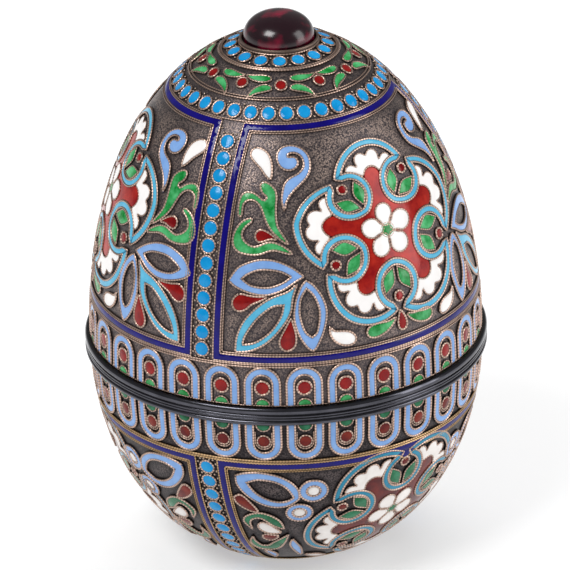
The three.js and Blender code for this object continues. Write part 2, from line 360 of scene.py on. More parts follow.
def points_of(mesh):
    points = np.empty(len(mesh.vertices) * 3)
    mesh.vertices.foreach_get("co", points)
    return points.reshape(-1, 3)


def mesh_from(bm, name, smooth=True):
    """Turns finished modelling into a mesh."""
    for face in bm.faces:
        face.smooth = smooth
    mesh = bpy.data.meshes.new(name)
    bm.to_mesh(mesh)
    bm.free()
    return mesh


def placed(name, data):
    """A new object in the scene."""
    made = bpy.data.objects.new(name, data)
    bpy.context.scene.collection.objects.link(made)
    return made


def finish_piece(name, mesh):
    mesh.name = name
    mesh.calc_loop_triangles()
    print(f"{name}: {len(mesh.loop_triangles)} triangles")
    return placed(name, mesh)


def wire_piece(name, laid_sheets):
    """One mesh of all the wires on sheets laid by their places."""
    beads = []
    data = bpy.data.curves.new(name, "CURVE")
    data.dimensions = "3D"
    data.bevel_depth = WIRE * MM
    data.bevel_resolution = 0
    for sheet, place in laid_sheets:
        for path, closed, radius in sheet.wires:
            flat = spaced(path, FINE, closed)
            points = place(flat[:, 0], flat[:, 1], np.full(len(flat), WIRE_LIFT))
            points = spaced(points, BEAD_STEP * MM, closed)
            if closed and len(points) % 2:
                points = spaced(points, BEAD_STEP * MM * len(points) / (len(points) - 1), True)
            soldered.append(points)
            bead = 1.0 - np.arange(len(points)) % 2
            beads.append(np.repeat(bead, SECTION))
            spline = data.splines.new("POLY")
            spline.points.add(len(points) - 1)
            spline.points.foreach_set("co", np.c_[points, np.ones(len(points))].ravel())
            swollen = (NECK + (SWELL - NECK) * bead) * radius / WIRE
            spline.points.foreach_set("radius", swollen)
            spline.points.foreach_set("tilt", np.arange(len(points)) * math.pi / SECTION)
            spline.use_cyclic_u = closed
    holder = placed(name, data)
    evaluated = holder.evaluated_get(bpy.context.evaluated_depsgraph_get())
    mesh = bpy.data.meshes.new_from_object(evaluated)
    bpy.data.objects.remove(holder)
    bpy.data.curves.remove(data)
    keep_values(mesh, "bead", np.concatenate(beads))
    bm = bmesh.new()
    bm.from_mesh(mesh)
    bmesh.ops.holes_fill(bm, edges=[edge for edge in bm.edges if edge.is_boundary])
    bmesh.ops.recalc_face_normals(bm, faces=bm.faces)
    bm.to_mesh(mesh)
    bm.free()
    return finish_piece(name, mesh)


# %% [markdown]
# ## From cells to enamel
# Molten enamel fills a cell and sets with a domed surface that meets the wires lower
# down. Each cell starts as a flat face, is extruded to the depth of the fill, inset and
# raised in its middle, and cut by a grid of planes so that it can bend with the egg. A
# value called heart marks the middle of a cell, for glazes that are paler there, partly as
# shaded enamel is and partly as a painted highlight.

# %% Fill the cells
FILL_LIFT = -0.26
FILL_ROOT = -0.62
DOME = 0.1
SHOULDER = 0.28
GRID = 1.8


def flat_cells(outlines, pairs, lift, dome):
    """The cells of one colour as a flat mesh, x and y in the drawing and z as the lift."""
    bm = bmesh.new()
    heart = bm.verts.layers.float.new("heart")
    floors = []
    for outline in outlines:
        verts = [bm.verts.new((x, y, FILL_ROOT)) for x, y in outline]
        floors.append(bm.faces.new(verts))
    for outer, inner in pairs:
        loops = []
        for line in (outer, inner):
            verts = [bm.verts.new((x, y, FILL_ROOT)) for x, y in line]
            loops.append([bm.edges.new((a, b)) for a, b in zip(verts, verts[1:] + verts[:1])])
        floors += bmesh.ops.bridge_loops(bm, edges=loops[0] + loops[1])["faces"]
    bmesh.ops.recalc_face_normals(bm, faces=bm.faces[:])
    bmesh.ops.reverse_faces(bm, faces=[f for f in bm.faces if f.normal.z > 0])
    raised = bmesh.ops.extrude_face_region(bm, geom=floors, use_keep_orig=True)
    tops = [g for g in raised["geom"] if isinstance(g, bmesh.types.BMFace)]
    top_verts = [g for g in raised["geom"] if isinstance(g, bmesh.types.BMVert)]
    bmesh.ops.translate(bm, verts=top_verts, vec=(0, 0, lift - FILL_ROOT))
    bmesh.ops.reverse_faces(bm, faces=[f for f in tops if f.normal.z < 0])
    bmesh.ops.inset_region(
        bm, faces=tops, thickness=SHOULDER, depth=0, use_boundary=True, use_even_offset=True,
    )
    for vert in {v for f in tops for v in f.verts}:
        vert[heart] = 1
        vert.co.z = lift + dome
    return bm


def grid_cut(bm):
    """Cuts a flat drawing by planes an even step apart, so that it can bend."""
    spread = np.array([v.co for v in bm.verts])
    for axis in (0, 1):
        low, high = spread[:, axis].min(), spread[:, axis].max()
        normal = [0, 0, 0]
        normal[axis] = 1
        for at in np.arange(math.ceil(low / GRID) * GRID, high, GRID):
            point = [0, 0, 0]
            point[axis] = at
            bmesh.ops.bisect_plane(
                bm, geom=bm.verts[:] + bm.edges[:] + bm.faces[:], plane_co=point,
                plane_no=normal, dist=1e-4,
            )


def enamel_piece(name, laid_sheets, colour, lift, dome):
    """One mesh of all the cells of a colour on sheets laid by their places."""
    whole = bmesh.new()
    flats = {}
    for sheet, place in laid_sheets:
        outlines, pairs = sheet.cells.get(colour, []), sheet.rings.get(colour, [])
        if not outlines and not pairs:
            continue
        if id(sheet) not in flats:
            bm = flat_cells(outlines, pairs, lift, dome)
            grid_cut(bm)
            bmesh.ops.triangulate(bm, faces=bm.faces[:])
            flats[id(sheet)] = mesh_from(bm, "flat", smooth=False)
        laid = flats[id(sheet)].copy()
        laid.vertices.foreach_set("co", place(*points_of(laid).T).ravel())
        whole.from_mesh(laid)
        bpy.data.meshes.remove(laid)
    bmesh.ops.recalc_face_normals(whole, faces=whole.faces[:])
    return finish_piece(name, mesh_from(whole, name))


# %% [markdown]
# ## The rosette
# Each panel has a five-lobed rosette: a flower in the middle, red arms between five round
# eyes, a crown of white petals at the head of each arm, and a turquoise ribbon that runs
# over each lobe and round each eye. It is drawn once, with the first lobe pointing north,
# and a fifth of it is turned five times.

# %% Draw the rosette
LOBES = 5
SECTOR = 360 / LOBES
HALF = math.radians(SECTOR / 2)
LOBE_TOP = 16.2
LOBE_WIDTH = 1.1
TIP = np.array([7.5, 11.3])
EYE = 9.3 * np.array([math.sin(HALF), math.cos(HALF)])
EYE_RADIUS = 4.25
EYE_WIDTH = 1.05
EYE_MOUTH = 24
HEAD = np.array([0, 9.75])
HEAD_RADIUS = 1.8
CROWN_WIRE, PETAL_WIRE = 0.15, 0.17
SOFTENING = 3


def meet(one, radius, other, reach):
    """Where two circles cross, on the left of the way from the first to the second."""
    gap = other - one
    span = np.hypot(*gap)
    along = (span ** 2 + radius ** 2 - reach ** 2) / (2 * span)
    aside = math.sqrt(radius ** 2 - along ** 2)
    way = gap / span
    return one + along * way + aside * np.array([-way[1], way[0]])


def bearing(centre, point):
    return math.degrees(math.atan2(*(point - centre)[::-1]))


def leaving(origin, angles, circles):
    """How far a ray from an origin goes, at each angle, until it has left all the circles."""
    ways = np.stack([np.cos(angles), np.sin(angles)], -1)
    reach = np.zeros(len(angles))
    for x, y, radius in circles:
        gap = np.array([x, y]) - origin
        along = ways @ gap
        inside = radius ** 2 - (gap @ gap - along ** 2)
        reach = np.maximum(reach, np.where(inside > 0, along + np.sqrt(inside.clip(0)), 0))
    return reach, ways


def softened(outline):
    """A closed line with its sharp corners rubbed off."""
    outline = spaced(outline, 0.2, True)
    for _ in range(SOFTENING):
        outline = (np.roll(outline, 1, 0) + 2 * outline + np.roll(outline, -1, 0)) / 4
    return outline


def crown():
    """Four white petals over the head of an arm, down to the two eyes beside it."""
    origin = HEAD - (0, 1)
    angles = np.linspace(math.radians(12), math.radians(168), 90)
    petals = [(-3.8, 11.5, 1.3), (-1.3, 12.95, 1.3), (1.3, 12.95, 1.3), (3.8, 11.5, 1.3),
              (0, 10.5, 2.8)]
    under = [(*HEAD, HEAD_RADIUS), (*EYE, EYE_RADIUS), (-EYE[0], EYE[1], EYE_RADIUS)]
    top, ways = leaving(origin, angles, petals)
    low, _ = leaving(origin, angles, under)
    seen = top > low + 0.15
    upper = (origin + ways * top[:, None])[seen]
    lower = (origin + ways * low[:, None])[seen]
    return softened(np.vstack([upper, lower[::-1]]))


def rosette(sheet, heading, ribbon):
    """The whole rosette, with its first lobe on a heading and a colour for its ribbon."""
    rise = LOBE_TOP - TIP[1]
    radius = (TIP[0] ** 2 + rise ** 2) / (2 * rise)
    centre = np.array([0, LOBE_TOP - radius])
    corner = meet(centre, radius - LOBE_WIDTH, EYE, EYE_RADIUS)
    swing = [bearing(centre, TIP), bearing(centre, corner)]
    outer = arc(*centre, radius, 180 - swing[0], swing[0])
    inner = arc(*centre, radius - LOBE_WIDTH, 180 - swing[1], swing[1])
    opening = abs(90 - SECTOR / 2 - bearing(EYE, corner))
    neck = meet(HEAD, HEAD_RADIUS, EYE, EYE_RADIUS)
    right = arc(*EYE, EYE_RADIUS, 270 - SECTOR / 2, bearing(EYE, neck))
    start = bearing(HEAD, neck)
    head = arc(*HEAD, HEAD_RADIUS, start, 180 - start)
    arm = np.vstack([right[:-1], head, mirrored(right)[1:]])
    petal = stroke([(0, 1.6), (0, 2.45), (0, 3.1)], [0.9, 1.58, 1.68])
    floor = []
    for i in range(LOBES):
        turn = heading - 90 + i * SECTOR
        sheet.cell(ribbon, spun(np.vstack([outer, inner[::-1]]), turn), edge=False)
        sheet.wire(spun(outer, turn))
        sheet.wire(spun(inner, turn))
        sheet.cell("white", spun(crown(), turn), radius=CROWN_WIRE)
        sheet.cell("white", spun(petal, turn), radius=PETAL_WIRE)
        draw_eye(sheet, turn - SECTOR / 2, ribbon, opening)
        floor.append(spun(arm[:-1], turn))
    sheet.cell("ruby_ground", np.vstack(floor), edge=False)
    sheet.dot("green", 0, 0, 1.3, CROWN_WIRE)


def draw_eye(sheet, turn, ribbon, opening):
    """A round eye on the north side, open outwards, with two leaves and a red dot."""
    reach = np.hypot(*EYE)
    outer = arc(0, reach, EYE_RADIUS, 90 + opening, 450 - opening)
    inner = arc(0, reach, EYE_RADIUS - EYE_WIDTH, 90 + EYE_MOUTH, 450 - EYE_MOUTH)
    tip = spun([TIP], SECTOR / 2)[0]
    inner = np.vstack([[tip], inner, [tip * (-1, 1)]])
    sheet.wire(spun(inner, turn))
    sheet.wire(spun(outer, turn))
    sheet.cell(ribbon, spun(np.vstack([outer, inner[::-1]]), turn), edge=False)
    leaf = moved(lens((-0.4, -2.9), (-2.65, 1.3), [(-2.65, -1.4)], [(-0.6, -0.2)]), 0, reach)
    for side in (leaf, mirrored(leaf)):
        sheet.cell("green", spun(side, turn), radius=PETAL_WIRE)
    sheet.dot("ruby", *spun([(0, reach + 2.1)], turn)[0], 0.9)


# %% [markdown]
# ## The lid's panels
# Round the rosette lie scrolls, sprouts, drops and three pointed loops in each lower
# corner, the same on both sides. Each is drawn once, on the left, as an outline or a loop
# in millimetres from the rosette's centre, and mirrored. The rosette itself was drawn by
# hand too, and leans and stretches a little to one side.

# %% Draw a lid panel
OUTLINE_STEPS = 4
WHITE_DROP = [
    (-18.2, 21.0), (-19.1, 20.6), (-19.5, 19.7), (-19.3, 18.6), (-18.85, 17.2), (-18.6, 15.8),
    (-18.1, 14.6), (-17.5, 15.4), (-16.85, 16.8), (-16.5, 18.3), (-16.6, 19.5), (-17.3, 20.6),
]
SCROLL = [
    (-17.7, 8.5), (-16.9, 9.8), (-15.5, 11.1), (-13.5, 12.15), (-11.8, 13.1), (-10.65, 14.5),
    (-10.2, 16.2), (-10.55, 17.6), (-11.5, 18.7), (-12.9, 19.3), (-14.2, 19.2), (-15.2, 18.4),
    (-15.6, 17.3), (-15.45, 16.1), (-14.7, 15.3), (-13.7, 15.05), (-12.8, 15.35), (-12.3, 16.1),
    (-12.4, 16.85), (-13.0, 17.2), (-13.6, 17.3), (-13.6, 17.75), (-12.9, 17.95), (-12.0, 17.6),
    (-11.4, 16.8), (-11.4, 15.7), (-11.9, 14.7), (-13.1, 14.05), (-14.7, 13.75), (-15.9, 13.15),
    (-16.8, 11.9), (-17.5, 10.4),
]
SPROUT = [
    (-18.75, 2.3), (-19.3, 4.3), (-19.7, 5.9), (-19.5, 7.6), (-18.9, 9.5), (-18.2, 11.2),
    (-17.95, 12.5), (-18.35, 13.7), (-19.1, 14.5), (-19.9, 14.45), (-20.3, 13.6), (-20.15, 12.5),
    (-19.75, 11.9), (-20.15, 11.35), (-20.7, 11.5), (-21.1, 12.4), (-21.9, 13.4), (-22.9, 13.85),
    (-23.8, 13.6), (-24.6, 12.7), (-25.2, 11.6), (-25.75, 10.0), (-25.3, 9.7), (-24.8, 10.7),
    (-24.2, 11.8), (-23.4, 12.25), (-22.6, 12.2), (-21.85, 11.6), (-21.45, 10.4), (-21.4, 8.8),
    (-21.35, 7.1), (-21.0, 5.6), (-20.3, 4.1), (-19.5, 2.95),
]
HOOKED_LEAF = [
    (-23.8, 8.85), (-25.3, 8.7), (-26.6, 7.9), (-27.7, 6.6), (-28.25, 5.2), (-28.2, 4.0),
    (-27.6, 3.0), (-26.5, 2.3), (-25.2, 1.8), (-23.8, 1.65), (-22.4, 1.85), (-21.1, 1.65),
    (-19.9, 0.95), (-18.4, 0.25), (-19.1, 1.4), (-20.1, 2.5), (-21.2, 3.25), (-22.4, 3.5),
    (-23.6, 3.3), (-24.7, 3.3), (-25.6, 4.0), (-26.2, 5.0), (-26.3, 6.0), (-25.85, 6.95),
    (-24.9, 7.7), (-23.8, 8.15),
]
BERRY = [
    (-22.8, 6.25), (-23.7, 5.9), (-24.1, 5.0), (-23.8, 4.05), (-22.8, 3.9), (-21.5, 4.0),
    (-20.4, 3.6), (-21.0, 4.6), (-21.8, 5.6),
]
SIDE_DROP = [
    (-29.3, -5.3), (-30.3, -6.0), (-30.6, -7.1), (-30.2, -8.2), (-29.3, -8.7), (-28.2, -8.4),
    (-27.2, -7.7), (-25.8, -7.35), (-24.2, -6.75), (-25.8, -6.4), (-27.4, -5.9), (-28.4, -5.4),
]
LOWER_DROP = [
    (-20.55, -11.5), (-20.25, -12.6), (-19.95, -14.0), (-19.85, -15.3), (-20.1, -16.4),
    (-20.85, -17.1), (-21.8, -17.1), (-22.6, -16.4), (-22.8, -15.3), (-22.4, -14.3),
    (-21.6, -13.0),
]
WHITE_COMMA = [
    (-13.9, -14.2), (-13.2, -15.05), (-11.8, -15.35), (-10.4, -15.75), (-9.5, -16.5),
    (-9.3, -17.3), (-9.8, -17.9), (-10.9, -18.0), (-12.2, -17.6), (-13.3, -16.7), (-13.9, -15.5),
]
AXIS_LEAF = [
    (-1.2, -15.5), (-3.0, -15.75), (-5.0, -15.6), (-6.5, -15.8), (-7.2, -16.6), (-6.8, -17.5),
    (-5.5, -17.85), (-3.7, -17.5), (-2.2, -16.7),
]
UPPER_LOOP = (
    lens((-30.6, -2.2), (-17.2, -4.3),
         [(-29.2, -0.65), (-27.7, 0.25), (-24.6, 0.6), (-21.8, -0.2), (-19.2, -2.1)],
         [(-18.9, -4.9), (-21.4, -6.0), (-24.3, -6.35), (-27.0, -5.45), (-29.4, -3.8)]),
    lens((-28.3, -2.35), (-19.4, -3.85), [(-27.0, -1.65), (-24.6, -1.3), (-21.4, -2.3)],
         [(-21.0, -4.65), (-23.7, -5.05), (-26.6, -4.15)]),
)
SIDE_LOOP = (
    lens((-18.7, -5.4), (-30.5, -16.4),
         [(-20.6, -6.5), (-23.6, -7.1), (-26.4, -8.5), (-28.9, -10.8), (-30.2, -13.6)],
         [(-28.0, -16.45), (-25.2, -15.4), (-22.6, -13.2), (-20.6, -10.6), (-19.8, -7.7)]),
    lens((-21.5, -8.75), (-29.3, -15.2), [(-23.7, -8.8), (-26.4, -10.5), (-28.6, -13.2)],
         [(-27.0, -15.0), (-24.4, -13.5), (-22.3, -11.0)]),
)
LOWER_LOOP = (
    lens((-17.0, -5.1), (-17.0, -17.9),
         [(-15.8, -6.4), (-14.6, -8.9), (-14.2, -11.5), (-14.9, -14.4), (-16.2, -17.0)],
         [(-18.1, -16.9), (-19.4, -14.5), (-19.95, -11.6), (-19.4, -8.6), (-18.1, -6.1)]),
    lens((-17.2, -6.5), (-17.1, -15.5), [(-16.0, -8.3), (-15.4, -11.2), (-16.1, -14.6)],
         [(-18.3, -14.2), (-18.95, -11.2), (-18.5, -8.3)]),
)


def lid_corner(sheet):
    shapes = {
        "white": (WHITE_DROP, WHITE_COMMA), "periwinkle": (SCROLL,),
        "green": (SPROUT, HOOKED_LEAF, AXIS_LEAF), "ruby": (BERRY, SIDE_DROP, LOWER_DROP),
    }
    for colour, outlines in shapes.items():
        for outline in outlines:
            sheet.cell(colour, curve(outline, True, OUTLINE_STEPS))
    sheet.ring("periwinkle", *UPPER_LOOP)
    sheet.ring("turquoise", *SIDE_LOOP)
    sheet.ring("periwinkle", *LOWER_LOOP)


LID_DRIFT = 0.85
LID_ANCHOR = 31.1
SWAY = [2.8, 2.7, 0.6, 0.0, -0.3, 1.7, 0.6, 1.1, 0.9, 2.0]
SWAY_START = -18


def hand_drawn(path):
    """Stretches a rosette a little further in some directions, as the real one is."""
    path = np.asarray(path, float)
    turns = np.degrees(np.arctan2(path[:, 1], path[:, 0]))
    sway = np.interp(turns, np.arange(len(SWAY)) * SECTOR / 2 + SWAY_START, SWAY, period=360)
    return path * (1 + sway / LOBE_TOP)[:, None]


lid_rosette = Sheet()
rosette(lid_rosette, 90, "turquoise")
lid_panel = Sheet()
lid_panel.add(lid_rosette, hand_drawn)
lid_panel.both(lid_corner)
lid_panel.cell("ruby", stroke([(0.1, -17.0), (0, -15.9), (-0.2, -14.3)], [0.95, 0.8, 0]))
print("lid panel:", len(lid_panel.wires), "wires")

# %% [markdown]
# ## The base's panels
# The rosette is the same with an eye pointing up to the seam. Beside it lies a bow of one
# pointed loop with two rings, then drops, a hooked leaf and a stem that shrink towards the
# foot, where the egg curves away.

# %% Draw a base panel
BASE_DRIFT = (1.6, -1.0)
BASE_STRETCH = 1.06
BASE_ANCHOR = -24.1
BOW_WIRE = 0.24
BOW_RINGS = ((-16.2, 6.9, 2.6), (-17.6, 0.8, 2.4))
RING_BORE, RING_PEARL = 1.3, 1.15
BOW_LOOP = (
    lens((-30.7, 6.8), (-18.4, 4.6),
         [(-29.3, 8.0), (-26.6, 9.2), (-23.4, 9.4), (-20.7, 8.4), (-19.0, 6.7)],
         [(-19.9, 2.5), (-22.2, 1.3), (-25.2, 1.4), (-28.0, 2.7), (-30.0, 4.6)]),
    lens((-28.5, 5.9), (-19.4, 4.7), [(-26.6, 7.4), (-23.7, 7.9), (-21.2, 6.9)],
         [(-21.0, 3.1), (-23.6, 2.8), (-26.4, 3.8)]),
)
DARK_DROP = [
    (-29.8, 0.8), (-29.3, 1.8), (-28.4, 2.0), (-26.8, 0.8), (-25.4, -0.5), (-24.8, -1.35),
    (-26.2, -1.6), (-27.9, -1.2), (-29.3, -0.4),
]
PALE_LEAF = [
    (-23.7, -5.05), (-23.3, -4.2), (-22.1, -4.3), (-20.7, -5.05), (-19.1, -6.2), (-20.2, -7.1),
    (-21.6, -7.3), (-22.9, -6.8), (-23.6, -5.9),
]
SMALL_BERRY = [
    (-21.6, -8.1), (-20.3, -7.7), (-19.2, -7.6), (-19.3, -9.0), (-20.0, -9.9), (-21.1, -9.8),
    (-21.8, -9.0),
]
BASE_STROKES = (
    ("green", [(-24.2, -7.4), (-25.9, -5.3), (-25.6, -3.4), (-24.0, -2.2), (-22.1, -2.7),
               (-20.6, -3.7), (-18.9, -4.9)], [0, 0.6, 0.65, 0.8, 1.0, 0.9, 0]),
    ("green", [(-23.3, -10.2), (-22.4, -12.4), (-20.5, -13.9), (-18.6, -13.0), (-18.1, -10.4),
               (-17.6, -6.6)], [0, 0.55, 0.85, 1.05, 0.95, 0]),
    ("periwinkle", [(-16.4, -8.0), (-15.5, -10.0), (-14.0, -12.1), (-12.2, -14.9)],
     [0, 0.65, 0.75, 0.3]),
    ("white", [(-11.2, -15.2), (-9.0, -16.2), (-6.6, -17.6)], [0, 1.0, 0.8]),
    ("periwinkle", [(-18.4, -15.6), (-16.6, -17.0), (-15.2, -19.4)], [0.5, 0.7, 0]),
)


def base_corner(sheet):
    sheet.ring("periwinkle", *BOW_LOOP, radius=BOW_WIRE)
    for x, y, radius in BOW_RINGS:
        sheet.ring("periwinkle", circle(x, y, radius), circle(x, y, RING_BORE))
        sheet.cell("white", circle(x, y, RING_PEARL), edge=False)
    for colour, outline in (("ruby", DARK_DROP), ("white", PALE_LEAF), ("ruby", SMALL_BERRY)):
        sheet.cell(colour, curve(outline, True, OUTLINE_STEPS))
    for colour, spine, widths in BASE_STROKES:
        sheet.cell(colour, stroke(spine, widths))


base_rosette = Sheet()
rosette(base_rosette, -90, "teal")
base_panel = Sheet()
base_panel.add(base_rosette, lambda path: moved(BASE_STRETCH * np.asarray(path), *BASE_DRIFT))
base_panel.both(base_corner)
base_panel.cell("ruby", stroke([(0, -21.0), (0, -19.2), (0, -17.4)], [0, 0.9, 1.1]))
print("base panel:", len(base_panel.wires), "wires")

# %% [markdown]
# ## Frames, pilasters and arcades
# A cobalt line frames each panel. On the base it widens into a small wedge above the
# rosette. Between two panels stands a pilaster with a row of sky blue dots on a granulated
# ground. Along each rim runs an arcade of round-headed arches, each over a red dot and a
# green half dot. The lower arcade hangs upside down.

# %% Draw the frames
PANELS = 3
PILASTER_LINE = 2.85
LID_FRAME = (10.86, LID_ARC - 23.2)
BASE_FRAME = (-10.57, FOOT_ARC + 2.4)
COBALT_HALF = 0.68
FRAME_WIRE, INNER_WIRE, INNER_GAP = 0.18, 0.15, 0.37
WEDGE_WIRE = 0.17
SIDE_POINTS, END_POINTS = 90, 80


def frame_line(low, high, inset):
    """A panel's closed frame, moved in by an inset. x is the angle times the egg's radius."""
    side = np.linspace(low + inset, high - inset, SIDE_POINTS)
    reach = math.pi / PANELS * EGG_RADIUS
    edge = reach - (PILASTER_LINE + inset) * EGG_RADIUS / np.interp(side, lengths, radii)
    top = np.linspace(edge[-1], -edge[-1], END_POINTS)[1:-1]
    bottom = np.linspace(-edge[0], edge[0], END_POINTS)[1:-1]
    return np.vstack([
        np.c_[edge, side], np.c_[top, np.full(len(top), high - inset)],
        np.c_[-edge[::-1], side[::-1]], np.c_[bottom, np.full(len(bottom), low + inset)],
    ])


def opened(line, left, right):
    """A frame's line without a stretch of its upper side, as an open line."""
    gap = (line[:, 0] > left) & (line[:, 0] < right) & (line[:, 1] > line[:, 1].max() - 0.05)
    if not gap.any():
        return line
    start = np.flatnonzero(gap)[-1] + 1
    return np.roll(line, -start, axis=0)[:len(line) - gap.sum()]


def frame_sheet(low, high, left=0, right=0):
    """A cobalt line with a wire on each side and a finer one within, open at a wedge."""
    sheet = Sheet()
    outer, inner = (frame_line(low, high, inset) for inset in (-COBALT_HALF, COBALT_HALF))
    sheet.rings["cobalt"] = [[outer, inner]]
    sheet.wire(outer, True, FRAME_WIRE)
    for inset, radius in ((COBALT_HALF, FRAME_WIRE), (COBALT_HALF + INNER_GAP, INNER_WIRE)):
        sheet.wire(opened(frame_line(low, high, inset), left, right), left == right, radius)
    return sheet


WEDGE = (-3.0, 6.2)
lid_frame = frame_sheet(*LID_FRAME)
base_frame = frame_sheet(BASE_FRAME[1], BASE_FRAME[0], *WEDGE)
wedge_tip = (sum(WEDGE) / 2, -13.4)
wedge_left = curve([(WEDGE[0], -11.35), (WEDGE[0] + 2.8, -12.0), wedge_tip])
wedge_right = curve([wedge_tip, (WEDGE[1] - 2.8, -12.0), (WEDGE[1], -11.35)])
base_frame.cell("cobalt", np.vstack([
    wedge_left, wedge_right[1:], [(WEDGE[1], -11.1), (WEDGE[0], -11.1)]]), edge=False)
base_frame.wire(wedge_left, radius=WEDGE_WIRE)
base_frame.wire(wedge_right, radius=WEDGE_WIRE)

# %% Draw the pilasters
DOT_RADIUS = 1.15
PILASTER_DOT = DOT_RADIUS + 0.22
COLLAR = 0.2


def pilaster_sheet(start, step, count):
    sheet = Sheet()
    for i in range(count):
        sheet.dot("sky", 0, start + i * step, PILASTER_DOT, COLLAR)
    return sheet


def granules(start, step, count):
    """Places of the small silver grains between a pilaster's dots."""
    places = []
    for i in range(count + 1):
        y = start + (i - 0.5) * step
        places += [(-1.25, y), (1.25, y), (-0.55, y), (0.55, y)]
        places += [(-1.75, y + step / 4), (1.75, y + step / 4),
                   (-1.75, y - step / 4), (1.75, y - step / 4)]
    return places


LID_DOTS = (11.9, 3.14, 13)
BASE_DOTS = (-11.9, -3.25, 11)
lid_pilaster = pilaster_sheet(*LID_DOTS)
base_pilaster = pilaster_sheet(*BASE_DOTS)

# %% Draw the arcades
ARCHES = 30
ARCH_HALVES = (3.18, 1.84)
ARCH_WIRE = 0.27
HALF_DOT, HALF_DOT_WIRE = 1.32, 0.17
RING_HALF, RING_WIRE = 1.52, 0.15
PLAIN_DOT = {"radius": 1.34, "collar": 0.25}
RINGED_DOT = {"radius": 1.2, "collar": 0.18}


def arch_line(half, spring, foot):
    """An open line up one leg, over the arch and down the other."""
    head = arc(0, spring, half, 180, 0)
    return np.vstack([[(-half, foot)], head, [(half, foot)]])


def arch_sheet(side, foot, spring, dot_y, ringed):
    """One arch. Its side is 1 where it stands and -1 where it hangs."""
    sheet = Sheet()
    outer, inner = (arch_line(half, spring, foot) for half in ARCH_HALVES)
    band = np.vstack([outer, inner[::-1]])
    sheet.cell("periwinkle", band * (1, side), edge=False)
    sheet.wire(outer * (1, side), radius=ARCH_WIRE)
    sheet.wire(inner * (1, side))
    if ringed:
        ring = arch_line(RING_HALF, dot_y + 0.1, foot + 1.6)
        sheet.wire(ring * (1, side), radius=RING_WIRE)
    sheet.dot("ruby", 0, side * dot_y, **(RINGED_DOT if ringed else PLAIN_DOT))
    half_dot = arc(0, foot + 0.1, HALF_DOT, 180, 0)
    sheet.cell("green", half_dot * (1, side), edge=False)
    sheet.wire(half_dot * (1, side), radius=HALF_DOT_WIRE)
    return sheet


lid_arch = arch_sheet(1, 1.95, 6.15, 5.5, False)
base_arch = arch_sheet(-1, 1.6, 5.7, 5.1, True)
arch_angles = [(i + 0.5) * 2 * math.pi / ARCHES for i in range(ARCHES)]

# %% [markdown]
# ## The cap
# Round the stone lie a ring of dots, a band of small leaves that spread from six red dots
# with six more between them, and an outer ring of dots, parted by pairs of wires. The cap
# is drawn from above, with rings as circles round the stone.

# %% Draw the cap
def polar(distance, degrees):
    turn = math.radians(degrees)
    return np.array([distance * math.sin(turn), -distance * math.cos(turn)])


INNER_PHASE, LEAF_PHASE, OUTER_PHASE = -34.8, -34.2, -1.6
LEAF_IN = [(2.3, -13.0), (3.3, -12.85), (5.1, -12.2), (6.5, -11.1)]
LEAF_OUT = [(2.3, -15.1), (3.4, -15.0), (5.2, -15.4), (6.8, -16.5)]
LEAF_WIDTHS = [0.58, 0.8, 0.55, 0]
LEAF_WIRE, CAP_COLLAR = 0.2, 0.23
RED_DOTS, RED_DOT_RADIUS = 12, 1.12
CAP_RINGS = ((7.25, 0.25), (10.8, 0.2), (11.2, 0.3), (17.3, 0.15), (17.8, 0.18), (22.2, 0.16))

cap = Sheet()
for distance, radius in CAP_RINGS:
    cap.wire(circle(0, 0, distance), True, radius)
for count, distance, phase, extra in ((16, 9.0, INNER_PHASE, 0.17), (36, 20.4, OUTER_PHASE, 0.25)):
    for i in range(count):
        spot = polar(distance, i * 360 / count + phase)
        cap.dot("sky", *spot, DOT_RADIUS + extra, CAP_COLLAR)
for i in range(RED_DOTS):
    turn = i * 360 / RED_DOTS + LEAF_PHASE
    cap.dot("ruby", *polar(14.6, turn), RED_DOT_RADIUS)
    if i % 2 == 0:
        for spine in (LEAF_IN, LEAF_OUT):
            outline = stroke(spine, LEAF_WIDTHS)
            cap.cell("green", spun(outline, turn), radius=LEAF_WIRE)
            cap.cell("green", spun(mirrored(outline), turn), radius=LEAF_WIRE)
print("cap:", len(cap.wires), "wires")

# %% [markdown]
# ## Wires and enamel on the egg
# Now the drawings are laid on the three panels of each half, and every group of wires and
# every colour of enamel becomes one piece. Keeping the colours apart gives each glaze its
# own material without any painting.

# %% Lay the drawings
LID_HOOPS = ((2.05, 0.14), (9.5, 0.18), (9.9, 0.18))
BASE_HOOPS = ((-1.65, 0.14), (-9.35, 0.22), (-9.8, 0.18), (FOOT_ARC + 0.7, 0.25))
FILLS = {"ruby_ground": (FILL_LIFT - 0.07, 0.02), "sky": (FILL_LIFT, 0.14)}


def hoop_sheet(hoops):
    """Wires all round the egg, each at a length from the seam."""
    sheet = Sheet()
    for length, radius in hoops:
        sheet.wire(circle(0, 0, LID_ARC - length), True, radius)
    return sheet


panel_angles = [i * 2 * math.pi / PANELS for i in range(PANELS)]
between = math.pi / PANELS


def layers_of(panel, drift, anchor, frame, hoops, pilaster, arch):
    """The sheets of one half with their places, by layer."""
    return {
        "panel": [(panel, laid_at(a + drift / EGG_RADIUS, anchor)) for a in panel_angles],
        "frame": [(frame, laid_round(a)) for a in panel_angles] + [(hoops, laid_on_cap)],
        "pilaster": [(pilaster, laid_along(a + between)) for a in panel_angles],
        "arcade": [(arch, laid_along(a)) for a in arch_angles],
    }


lid_layers = layers_of(
    lid_panel, LID_DRIFT, LID_ANCHOR, lid_frame, hoop_sheet(LID_HOOPS), lid_pilaster, lid_arch)
lid_layers["cap"] = [(cap, laid_on_cap)]
base_layers = layers_of(
    base_panel, 0, BASE_ANCHOR, base_frame, hoop_sheet(BASE_HOOPS), base_pilaster, base_arch)

